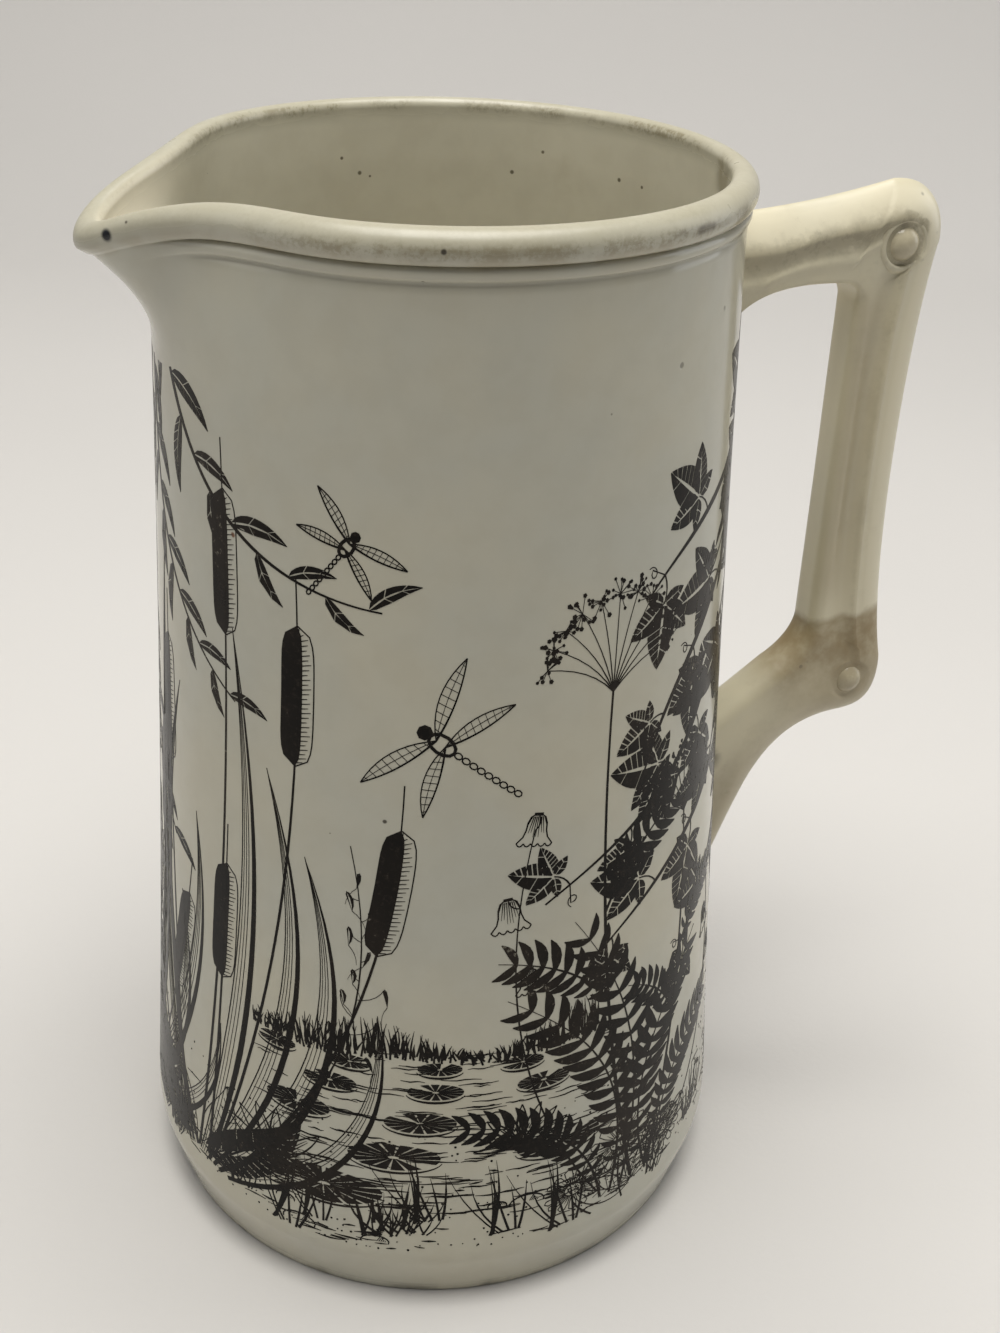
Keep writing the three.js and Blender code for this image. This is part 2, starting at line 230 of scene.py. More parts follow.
class JugSizes(bpy.types.PropertyGroup):
    """Sizes of the jug that a user may change."""
    lip_reach: length("Lip reach", 0.01076, "How far the lip is drawn out")
    lip_drop: length("Lip drop", 0.0075, "How far the rim falls at the lip")
    lip_start: length("Lip start", 0.165, "Height at which the wall begins to swell into the lip")
    lip_width: angle("Lip half angle", 0.23, "Half angle of the lip's swelling")
    drop_width: angle("Drop half angle", 0.21, "Half angle of the rim's fall")
    pinch: length("Pinch", 0.0015, "How far the wall is pressed in on both sides of the lip")
    pinch_turn: angle("Pinch angle", 0.56, "Turn from the lip to the middle of each pinch")
    pinch_width: angle("Pinch half angle", 0.25, "Half angle of each pinch")
    bead_fade: angle("Bead fade", 0.33, "Turn from the lip within which bead and flute fade out")
    handle_width: length("Handle width", 0.010, "Width of the handle across its crown")
    ink_lift: length("Ink lift", 0.00005, "How far the transfer stands proud of the glaze")
    turns: bpy.props.IntProperty(name="Turns", description="Faces round the wall", default=320, min=32)


class JugColours(bpy.types.PropertyGroup):
    """Colours of glaze, clay, ink and studio."""
    glaze: colour("Glaze", (0.525, 0.497, 0.392), "Clear glaze over the pale body")
    glaze_grey: colour("Cool glaze", (0.485, 0.477, 0.402), "Glaze where it lies thicker")
    # The inside glaze is a little more yellow, and also painted lighter than the outer glaze as light for the
    # inside of the jug
    inside: colour("Inside glaze", (0.72, 0.68, 0.535), "Glaze inside the jug, a little more yellow")
    handle: colour("Handle glaze", (0.66, 0.60, 0.43), "Yellowed glaze of the handle")
    burn: colour("Burnt stain", (0.27, 0.195, 0.09), "Brown stain at the handle's lower elbow")
    # The lip tone is painted light, in the lip's channel and on the upper finger side of the grip
    lip: colour("Lip", (0.92, 0.85, 0.67), "Pale glaze that lies thin in the lip's channel")
    rim: colour("Rim", (0.44, 0.41, 0.305), "Cream glaze rubbed thin on the roll")
    # The handle crown tone is a painted highlight along the slopes of the handle's back
    crown: colour("Handle crown", (0.76, 0.70, 0.53), "Brighter glaze along the slopes of the handle's back")
    ware: colour("Bare ware", (0.62, 0.56, 0.44), "Fired clay where the glaze is worn off")
    ink: colour("Ink", (0.005, 0.004, 0.003), "Darkest ink of the transfer pattern")
    ink_thin: colour("Thin ink", (0.035, 0.026, 0.019), "Ink where the transfer took lightly")
    dirt: colour("Dirt", (0.060, 0.050, 0.034), "Dark dirt in specks, hollows and chips")
    # Grime is also laid as painted shade round the upper sinkings
    grime: colour("Grime", (0.22, 0.183, 0.102), "Brown grime along edges and round the bosses")
    # Stain is also laid as painted shade in the flute and on the grip's panel
    stain: colour("Stain", (0.30, 0.235, 0.135), "Brown tea stain in the crazed glaze")
    floor: colour("Floor", (0.66, 0.64, 0.615), "Plain pale floor")
    backdrop: colour("Backdrop", (0.56, 0.54, 0.52), "Plain pale backdrop")


def sizes():
    return bpy.context.scene.jug_sizes


def colours():
    return bpy.context.scene.jug_colours


# Node trees


class Nodes:
    """Adds nodes to one tree and wires them by value or by socket."""

    def __init__(self, tree):
        self.tree = tree

    def add(self, kind, inputs=None, out=0, **settings):
        node = self.tree.nodes.new(kind)
        for key, value in settings.items():
            setattr(node, key, value)
        for key, value in (inputs or {}).items():
            self.feed(node.inputs[key], value)
        return node if out is None else node.outputs[out]

    def feed(self, socket, value):
        if isinstance(value, Wire):
            value = value.socket
        if isinstance(value, bpy.types.NodeSocket):
            self.tree.links.new(value, socket)
        elif socket.type == "RGBA" and len(value) == 3:
            socket.default_value = (*value, 1)
        else:
            socket.default_value = value

    def wire(self, socket):
        return Wire(self, socket)

    def math(self, operation, *values, clamped=False):
        socket = self.add("ShaderNodeMath", dict(enumerate(values)), operation=operation, use_clamp=clamped)
        return Wire(self, socket)

    def ramp(self, value, low, high):
        """0 below low and 1 above high, easing between; low may be the larger one."""
        return self.wire(self.add("ShaderNodeMapRange", {"Value": value, "From Min": low, "From Max": high},
                                  interpolation_type="SMOOTHSTEP"))

    def band(self, value, start, full, fading, end):
        """1 from full to fading, easing to 0 at start and end."""
        return self.ramp(value, start, full) * self.ramp(value, end, fading)

    def arrange(self):
        """Sets the nodes in columns by how far they stand from the first."""
        depth = {}
        for _ in range(len(self.tree.nodes)):
            changed = False
            for link in self.tree.links:
                step = depth.get(link.from_node.name, 0) + 1
                if depth.get(link.to_node.name, 0) < step:
                    depth[link.to_node.name] = step
                    changed = True
            if not changed:
                break
        rows = {}
        for node in self.tree.nodes:
            column = depth.get(node.name, 0)
            rows[column] = rows.get(column, 0) + 1
            node.location = (column * 200, -rows[column] * 160)


class Wire:
    """A float socket that can be added to, multiplied and so on."""

    def __init__(self, nodes, socket):
        self.nodes = nodes
        self.socket = socket

    def __add__(self, other):
        return self.nodes.math("ADD", self, other)

    __radd__ = __add__

    def __sub__(self, other):
        return self.nodes.math("SUBTRACT", self, other)

    def __rsub__(self, other):
        return self.nodes.math("SUBTRACT", other, self)

    def __mul__(self, other):
        return self.nodes.math("MULTIPLY", self, other)

    __rmul__ = __mul__

    def __truediv__(self, other):
        return self.nodes.math("DIVIDE", self, other)

    def __pow__(self, other):
        return self.nodes.math("POWER", self, other)

    def clamped(self):
        return self.nodes.math("ADD", self, 0.0, clamped=True)


class Skin(Nodes):
    """The tree of one material, with its object coordinates and the colour laid so far."""

    def __init__(self, name, base):
        self.material = bpy.data.materials.new(name)
        self.material.use_nodes = True
        super().__init__(self.material.node_tree)
        self.base = base
        self.vector = self.add("ShaderNodeTexCoord", out="Object")
        parts = self.add("ShaderNodeSeparateXYZ", {0: self.vector}, out=None)
        self.axes = [self.wire(socket) for socket in parts.outputs]

    def attribute(self, name):
        """A float attribute of the mesh's points."""
        return self.wire(self.add("ShaderNodeAttribute", out="Fac", attribute_name=name))

    def noise(self, scale, detail, roughness=0.55, vector=None):
        return self.wire(self.add("ShaderNodeTexNoise", {
            "Vector": self.vector if vector is None else vector, "Scale": scale, "Detail": detail,
            "Roughness": roughness}, out="Fac"))

    def specks(self, scale, size, share):
        """Small round dots scattered over the surface; share is how many of the cells hold one."""
        cells = self.add("ShaderNodeTexVoronoi", {"Vector": self.vector, "Scale": scale}, out=None)
        chosen = self.add("ShaderNodeSeparateColor", {0: cells.outputs["Color"]}, out=None)
        here = self.math("LESS_THAN", chosen.outputs[0], share)
        grown = self.wire(chosen.outputs[1]) * size + size * 0.4
        return here * self.ramp(self.wire(cells.outputs["Distance"]), grown, grown * 0.6)

    def spot(self, centre_mm, radius_mm, soft):
        """1 within a ball about a point on the surface."""
        gap = self.wire(self.add("ShaderNodeVectorMath", {
            0: self.vector, 1: [c * MM for c in centre_mm]}, out="Value", operation="DISTANCE"))
        return self.ramp(gap, radius_mm * MM, radius_mm * MM * (1 - soft))

    def lay(self, tone, factor):
        """Mixes a tone over the colour so far; 6 and 7 are the mix node's colour sockets."""
        self.base = self.add("ShaderNodeMix", {0: factor, 6: self.base, 7: tone}, out=2, data_type="RGBA")

    def lay_marks(self, marks):
        tones = {**MARK_TONES, "dirt": tuple(colours().dirt)}
        for tone in sorted(set(mark[2] for mark in marks)):
            masks = [self.spot(centre, radius, 0.55) for centre, radius, kind in marks if kind == tone]
            total = masks[0]
            for mask in masks[1:]:
                total = self.math("MAXIMUM", total, mask)
            self.lay(tones[tone], total)

    def finish(self, roughness, height, distance_mm, more=None):
        """Feeds the shader with the colour laid, a roughness, a relief and other inputs by name."""
        principled = self.tree.nodes["Principled BSDF"]
        self.feed(principled.inputs["Base Color"], self.base)
        self.feed(principled.inputs["Roughness"], roughness)
        relief = self.add("ShaderNodeBump", {"Height": height, "Strength": 1.0, "Distance": distance_mm * MM})
        self.feed(principled.inputs["Normal"], relief)
        for label, value in (more or {}).items():
            principled.inputs[label].default_value = value
        self.arrange()
        return self.material


# Specks, pinholes and rust flecks on the body and the handle: place, radius and tone
BODY_MARKS_MM = [
    ((-56.3, -7.6, 192.0), 1.25, "black"),
    ((-53.9, -10.0, 194.4), 0.4, "dirt"),
    ((-17.5, -46.2, 197.1), 0.55, "dirt"),
    ((-19.7, -44.1, 192.4), 0.4, "dirt"),
    ((-43.4, -24.4, 149.2), 0.6, "rust"),
    ((-25.5, -45.2, 105.4), 0.5, "dirt"),
    ((40.0, 20.4, 188.9), 0.5, "faint"),
    ((42.2, 15.4, 188.6), 0.4, "faint"),
    ((25.7, 36.9, 187.4), 0.5, "faint"),
    ((30.2, 33.2, 191.6), 0.4, "faint"),
    ((-5.0, 44.6, 189.7), 0.4, "faint"),
    ((-1.5, 45.0, 186.8), 0.5, "faint"),
    ((0.5, 45.0, 186.1), 0.3, "faint"),
    ((20.0, 48.5, 120.0), 0.5, "rust"),
    ((-30.0, 41.0, 150.0), 0.4, "dirt"),
]
HANDLE_MARKS_MM = [
    ((89.7, -2.9, 189.5), 0.8, "dirt"),
    ((89.0, -4.1, 96.0), 0.6, "dirt"),
    ((60.2, -4.1, 76.6), 0.5, "dirt"),
    ((64.8, -4.3, 72.8), 0.6, "dirt"),
]
MARK_TONES = {"black": (0.008, 0.009, 0.012), "rust": (0.16, 0.07, 0.03), "faint": (0.17, 0.15, 0.10)}


def body_glaze():
    """Pale glaze with soft mottling, specks, a worn rim, grime on the roll's front, painted shade under the
    roll, painted light in the lip's channel and an inside painted lighter.
    """
    c = colours()
    nodes = Skin("body_glaze", c.glaze)
    x, y, z = nodes.axes
    inside = nodes.attribute("inside")
    blank = nodes.attribute("blank_height")
    cloud = nodes.noise(22, 4)
    fine = nodes.noise(160, 3)
    coarse = nodes.noise(55, 4, 0.65)
    nodes.lay(c.glaze_grey, nodes.ramp(cloud, 0.35, 0.68))
    # the yellower inside glaze, painted lighter as light for the inside
    nodes.lay(c.inside, inside * (0.75 + 0.25 * coarse))
    nodes.lay(c.stain, nodes.ramp(coarse, 0.6, 0.85) * (0.10 + 0.10 * inside))
    nodes.lay(c.stain, nodes.ramp(fine, 0.38, 0.66) * 0.07)
    outside = 1.0 - inside
    stipple = nodes.ramp(nodes.noise(1300, 3, 0.7) + 0.8 * (fine - 0.5), 0.42, 0.66)
    # cream glaze rubbed thin on the rim, with a broken brown line along its inner edge
    rim = nodes.ramp(blank, 0.1955, 0.1985)
    nodes.lay(c.rim, rim * (0.55 + 0.35 * nodes.ramp(coarse, 0.35, 0.65)))
    edge = nodes.ramp(inside, 0.25, 0.6) * nodes.ramp(blank, 0.1974, 0.1986)
    nodes.lay(c.grime, edge * nodes.ramp(coarse, 0.38, 0.58) * stipple * 0.65)
    # painted shade: soft brown in the flute, where it lies under the roll
    flute = nodes.band(blank, 0.1942, 0.1950, 0.1958, 0.1972)
    nodes.lay(c.stain, flute * outside * nodes.ramp(fine, 0.3, 0.7) * 0.30)
    # stippled grime along the roll's front, with a dark worn streak left of the handle
    smear = nodes.band(blank, 0.1952, 0.1966, 0.1974, 0.1986) * outside
    line = nodes.band(blank, 0.1961, 0.1968, 0.1973, 0.1981) * outside
    nodes.lay(c.grime, smear * stipple * nodes.ramp(y, -0.020, -0.040) * 0.42)
    worn = nodes.spot((26.0, -41.5, 196.2), 15.0, 0.5) * nodes.ramp(coarse, 0.36, 0.58)
    broken = nodes.ramp(coarse + 0.5 * (fine - 0.5), 0.44, 0.60)
    broken = broken * (0.2 + 0.8 * nodes.ramp(y, -0.020, -0.036))
    nodes.lay(c.grime, line * broken * 0.40)
    nodes.lay(c.dirt, worn * line * (0.25 + 0.5 * nodes.ramp(fine, 0.45, 0.60)))
    nodes.lay(c.grime, rim * outside * stipple * 0.10)
    # dirt gathered just inside the rim by the handle
    crescent = nodes.spot((42.6, -11.9, 196.6), 6.0, 0.7) * inside * nodes.ramp(z, 0.1992, 0.1978)
    nodes.lay(c.grime, crescent * nodes.ramp(fine, 0.3, 0.55) * 0.75)
    # painted light: a pale tone in the drawn lip's channel, inside the jug
    lip = nodes.ramp(x, -0.034, -0.050) * inside * nodes.ramp(z, 0.176, 0.188)
    nodes.lay(c.lip, lip * (0.7 + 0.3 * coarse))
    # the foot is scuffed where it stands
    foot = nodes.ramp(z, 0.0035, 0.0002)
    nodes.lay(c.dirt, foot * nodes.ramp(fine, 0.4, 0.7) * 0.6)
    dots = nodes.specks(95, 0.045, 0.10)
    nodes.lay(c.dirt, dots * 0.55)
    pin = nodes.specks(240, 0.06, 0.05 + 0.25 * rim)
    nodes.lay(c.dirt, pin * 0.5)
    nodes.lay_marks(BODY_MARKS_MM)
    ripple = nodes.noise(30, 2, vector=nodes.add(
        "ShaderNodeMapping", {"Vector": nodes.vector, "Scale": (1, 1, 0.5)}))
    peel = nodes.noise(900, 2)
    height = ripple * 1.6 + coarse * 0.5 + peel * 0.04 - dots * 0.5 - pin * 0.6
    rough = (0.10 + 0.10 * coarse + 0.40 * rim * fine + 0.35 * foot + 0.2 * dots).clamped()
    return nodes.finish(rough, height, 0.10, {"IOR": GLAZE_IOR})


def handle_glaze():
    """Yellowed glaze with grime in its grooves, partly painted shade round the upper sinkings, painted
    highlight on the crown's slopes, painted shade and light on the grip's panel and finger side, and a brown
    stain at the lower elbow.
    """
    c = colours()
    nodes = Skin("handle_glaze", c.handle)
    x, y, z = nodes.axes
    groove = nodes.attribute("groove")
    crown = nodes.attribute("crown")
    finger = nodes.attribute("finger")
    cloud = nodes.noise(40, 4)
    coarse = nodes.noise(110, 4, 0.65)
    fine = nodes.noise(380, 4, 0.7)
    nodes.lay(c.glaze, nodes.ramp(cloud, 0.35, 0.75) * 0.55)
    # painted highlight on the crown's slopes
    nodes.lay(c.crown, crown * 0.6)
    nodes.lay(c.stain, nodes.ramp(coarse, 0.55, 0.8) * 0.22)
    upper = nodes.ramp(z, 0.150, 0.168)
    # grime in the grooves, which round the upper sinkings is partly painted shade
    grime_and_sinking_shade = groove * nodes.ramp(coarse + 0.6 * (fine - 0.5) + 0.25 * (groove - 0.5), 0.36, 0.56)
    nodes.lay(c.grime, grime_and_sinking_shade * (0.25 + 0.27 * upper))
    nodes.lay(c.dirt, grime_and_sinking_shade * nodes.ramp(fine, 0.50, 0.62) * upper * 0.18)
    # painted shade darkens the grip's panel on its finger side
    painted_panel_shade = nodes.ramp(x, 0.0885, 0.081) * nodes.ramp(z, 0.105, 0.115) * nodes.ramp(z, 0.176, 0.168)
    nodes.lay(c.stain, painted_panel_shade * (1.0 - finger) * 0.36)
    # painted light on the finger side itself in its upper part, more so towards the far edge
    rubbed = finger * nodes.ramp(z, 0.115, 0.150) * nodes.ramp(x, 0.058, 0.066)
    nodes.lay(c.lip, rubbed * (0.25 + 0.6 * nodes.ramp(y, 0.0, 0.006)))
    pits = nodes.ramp(fine, 0.6, 0.74)
    nodes.lay(c.dirt, pits * nodes.ramp(cloud, 0.5, 0.72) * 0.30)
    # the brown stain round the lower elbow, with dark specks on the finger side
    tide = z + 0.0026 + 0.006 * (coarse - 0.5) - 0.12 * (x - 0.085)
    below = z - 0.060 - 0.73 * (x - 0.055)
    nodes.lay(c.stain, nodes.ramp(below, 0.016, 0.002) * nodes.ramp(tide, 0.1075, 0.103) * 0.45)
    middle = nodes.ramp(z, 0.080, 0.099) * nodes.ramp(tide, 0.1088, 0.1065) * nodes.ramp(x, 0.064, 0.074)
    nodes.lay(c.burn, middle * (0.45 + 0.45 * nodes.ramp(coarse, 0.25, 0.62)))
    patch = nodes.spot((75.0, -3.5, 96.0), 4.5, 0.9) * nodes.specks(480, 0.22, 0.75)
    nodes.lay(c.dirt, patch * 0.6)
    foot_dirt = nodes.spot((57.0, -5.0, 76.5), 4.0, 0.9)
    nodes.lay(c.dirt, foot_dirt * nodes.ramp(coarse, 0.42, 0.58) * 0.85)
    dots = nodes.specks(150, 0.06, 0.12)
    nodes.lay(c.dirt, dots * 0.5)
    nodes.lay_marks(HANDLE_MARKS_MM)
    height = cloud * 1.4 + coarse * 0.5 + fine * 0.06 - dots * 0.5 - groove * 0.3
    rough = (0.22 + 0.18 * coarse + 0.25 * groove * fine + 0.2 * middle).clamped()
    return nodes.finish(rough, height, 0.10, {"IOR": GLAZE_IOR})


def boss_glaze():
    """Glaze of the small domes: pale on top, with grime where they meet the sinking."""
    c = colours()
    nodes = Skin("boss_glaze", c.handle)
    _, y, z = nodes.axes
    reach = nodes.math("ABSOLUTE", y)
    coarse = nodes.noise(170, 4, 0.6)
    nodes.lay(c.glaze, nodes.ramp(coarse, 0.3, 0.7) * 0.6)
    nodes.lay(c.stain, nodes.ramp(coarse, 0.2, 0.6) * 0.42)
    lower = nodes.ramp(z, 0.13, 0.12)
    skirt = nodes.ramp(reach, 0.0047, 0.0040) * (1.0 - 0.6 * lower)
    nodes.lay(c.grime, skirt * nodes.ramp(coarse, 0.25, 0.6) * 0.38)
    nodes.lay(c.stain, lower * nodes.ramp(coarse, 0.2, 0.5) * 0.40)
    dots = nodes.specks(300, 0.08, 0.15)
    nodes.lay(c.dirt, dots * 0.5)
    rough = (0.16 + 0.14 * coarse + 0.2 * skirt).clamped()
    return nodes.finish(rough, coarse - dots * 0.5, 0.06, {"IOR": GLAZE_IOR})


def bare_ware():
    """The base disc: wiped to a cream body below, grey where it has rubbed on tables, and glazed inside in
    the inside tone, which is painted lighter.
    """
    c = colours()
    nodes = Skin("bare_ware", c.ware)
    x, y, z = nodes.axes
    radius = nodes.math("SQRT", x * x + y * y)
    coarse = nodes.noise(70, 5, 0.65)
    fine = nodes.noise(500, 4, 0.7)
    nodes.lay(c.glaze, nodes.ramp(coarse, 0.4, 0.65) * 0.6)
    worn = nodes.ramp(radius, 0.036, 0.048)
    nodes.lay(c.dirt, worn * nodes.ramp(fine, 0.42, 0.66) * 0.45)
    # the disc's top inside the jug takes the inside tone, which is painted lighter
    inner = nodes.ramp(z, 0.005, 0.007)
    nodes.lay(c.inside, inner)
    nodes.lay(c.stain, nodes.ramp(coarse, 0.5, 0.75) * (0.18 + 0.12 * inner))
    dots = nodes.specks(160, 0.07, 0.14)
    nodes.lay(c.dirt, dots * 0.6)
    rough = (0.55 + 0.2 * fine - 0.42 * inner).clamped()
    return nodes.finish(rough, coarse + fine * 0.6 - dots * 0.4, 0.12)


def transfer_ink():
    """Brown-black print under the glaze, paler where the tissue lifted."""
    c = colours()
    nodes = Skin("transfer_ink", c.ink)
    broad = nodes.noise(26, 3)
    grain = nodes.noise(900, 3, 0.7)
    thin = (nodes.ramp(broad, 0.45, 0.72) * 0.55 + nodes.ramp(grain, 0.5, 0.75) * 0.5).clamped()
    nodes.lay(c.ink_thin, thin)
    gaps = nodes.ramp(grain * 0.6 + broad * 0.4, 0.62, 0.70)
    nodes.lay(c.glaze, gaps * 0.35)
    coarse = nodes.noise(55, 4, 0.65)
    return nodes.finish(0.16 + 0.14 * coarse, coarse * 0.5, 0.10, {"IOR": INK_IOR})


# Meshes


def new_object(name, mesh):
    piece = bpy.data.objects.new(name, mesh)
    bpy.context.scene.collection.objects.link(piece)
    return piece


def mesh_from(name, points_mm, faces, floats=None):
    """A mesh in metres from millimetre points, with float attributes on its points."""
    mesh = bpy.data.meshes.new(name)
    mesh.from_pydata([tuple(c * MM for c in p) for p in points_mm], [], faces)
    for key, values in (floats or {}).items():
        mesh.attributes.new(key, "FLOAT", "POINT").data.foreach_set("value", values)
    mesh.update()
    return mesh


def turn_outwards(mesh, merge=False):
    """Turns every face outwards, where asked after doubled points are merged."""
    work = bmesh.new()
    work.from_mesh(mesh)
    if merge:
        bmesh.ops.remove_doubles(work, verts=work.verts, dist=MERGE)
    bmesh.ops.recalc_face_normals(work, faces=work.faces)
    work.to_mesh(mesh)
    work.free()


def tidy_mesh(mesh):
    turn_outwards(mesh, merge=True)
    mesh.shade_smooth()


def quads(rows, columns, start=0, turn=False, close=False):
    """Faces of a grid of points; turn joins its last column to the first, close its last row to the first."""
    faces = []
    for i in range(rows if close else rows - 1):
        a, b = start + i * columns, start + (i + 1) % rows * columns
        for k in range(columns if turn else columns - 1):
            n = (k + 1) % columns
            faces.append((a + k, a + n, b + n, b + k))
    return faces


def circle(radius, steps):
    turns = [2 * math.pi * k / steps for k in range(steps)]
    return [(radius * math.cos(a), radius * math.sin(a)) for a in turns]


def lathe(profile_mm, steps):
    """Points and faces of a turned solid whose profile starts and ends on the axis."""
    points = [(x, y, z) for r, z in profile_mm for x, y in circle(r, steps)]
    return points, quads(len(profile_mm), steps, turn=True)


def node_group(name, inputs):
    """A geometry node group with inputs listed by kind; returns its helper and its inputs by name."""
    tree = bpy.data.node_groups.new(name, "GeometryNodeTree")
    tree.is_modifier = True
    for side in ("INPUT", "OUTPUT"):
        tree.interface.new_socket("Geometry", in_out=side, socket_type="NodeSocketGeometry")
    for kind, labels in inputs.items():
        for label in labels.split(", "):
            tree.interface.new_socket(label, in_out="INPUT", socket_type=f"NodeSocket{kind}")
    nodes, given = Nodes(tree), tree.nodes.new("NodeGroupInput")
    return nodes, {socket.name: nodes.wire(socket) for socket in given.outputs}


def finish_group(nodes, geometry, material):
    """Ends a tree in realised, dressed geometry."""
    real = nodes.add("GeometryNodeRealizeInstances", {0: geometry})
    dressed = nodes.add("GeometryNodeSetMaterial", {"Geometry": real, "Material": material})
    nodes.add("NodeGroupOutput", {0: dressed}, out=None)
    nodes.arrange()
    return nodes.tree


def apply_group(piece, tree, values):
    """Puts the tree on the object with its inputs set by identifier, and makes the result plain."""
    modifier = piece.modifiers.new(tree.name, "NODES")
    modifier.node_group = tree
    sockets = {item.name: item.identifier for item in tree.interface.items_tree if item.in_out == "INPUT"}
    for label, value in values.items():
        modifier[sockets[label]] = value
    view = bpy.context.evaluated_depsgraph_get()
    view.update()
    mesh = bpy.data.meshes.new_from_object(piece.evaluated_get(view), preserve_all_data_layers=True,
                                           depsgraph=view)
    mesh.name = piece.name
    piece.modifiers.clear()
    piece.data = mesh


# The thrown wall


def arc(x, z, radius, start, end, count):
    return [(x + radius * math.cos(a), z + radius * math.sin(a)) for a in spread(start, end, count)]


def quadratic(a, b, c, count):
    out = []
    for t in spread(0, 1, count):
        s = 1 - t
        out.append(tuple(s * s * a[i] + 2 * s * t * b[i] + t * t * c[i] for i in range(2)))
    return out


def wall_profile():
    """Closed half section of the wall as rows of radius, height, relief and side."""
    rows = []

    def add(points, relief=0.0, side=0.0):
        rows.extend((r, z, relief, side) for r, z in points)

    share = EDGE_MM / BEVEL_TOP_MM
    edge = (lerp(FOOT_MM, BEVEL_MM, share), EDGE_MM)
    add([(BASE_MM, 0.0), (lerp(BASE_MM, FOOT_MM, 0.5), 0.0)])
    add(quadratic((FOOT_MM - EDGE_MM, 0.0), (FOOT_MM, 0.0), edge, 5))
    low = (lerp(FOOT_MM, BEVEL_MM, 1 - BEVEL_ROUND_MM / BEVEL_TOP_MM), BEVEL_TOP_MM - BEVEL_ROUND_MM)
    add([toward(edge, low, t) for t in (0.1, 0.35, 0.6, 0.85)])
    high = BEVEL_TOP_MM + BEVEL_ROUND_MM
    add(quadratic(low, (BEVEL_MM, BEVEL_TOP_MM), (wall_mm(high), high), 10))
    add([(wall_mm(z), z) for z in spread(high, NECK_TOP_MM, 84)[1:]])
    add([(NECK_MM, NECK_TOP_MM + 1.2), (NECK_MM, BEAD_Z_MM - BEAD_MM * 1.5)])
    for a in spread(-0.45 * math.pi, 0.42 * math.pi, 9):
        add([(NECK_MM, BEAD_Z_MM + BEAD_MM * math.sin(a))], BEAD_RELIEF_MM - BEAD_MM + BEAD_MM * math.cos(a))
    roll = arc(ROLL_X_MM, TOP_MM - ROLL_MM, ROLL_MM, -ROLL_UNDERCUT, math.pi / 2, 20)
    for t in (0.3, 0.6):
        add([(NECK_MM, lerp(BEAD_Z_MM + BEAD_MM, roll[0][1], t))], -FLUTE_MM)
    add(roll)
    mouth = inner_mm(NECK_TOP_MM)
    inside = ROLL_X_MM - mouth
    for t in spread(0.05, 1, 10):
        a = lerp(math.pi / 2, math.pi, t)
        add([(ROLL_X_MM + inside * math.cos(a), TOP_MM - inside + inside * math.sin(a))], 0, smooth(t))
    add([(mouth, lerp(TOP_MM - inside, NECK_TOP_MM, t)) for t in (0.3, 0.6, 0.9)], 0, 1)
    floor = FLOOR_MM + CORNER_MM
    add([(inner_mm(z), z) for z in spread(NECK_TOP_MM, floor, 70)], 0, 1)
    heel = inner_mm(floor)
    add(quadratic((heel, floor), (heel, FLOOR_MM), (BASE_MM, FLOOR_MM), 12)[1:], 0, 1)
    add([(BASE_MM, FLOOR_MM / 2)], 0, 1)
    rows.append(rows[0])
    return rows


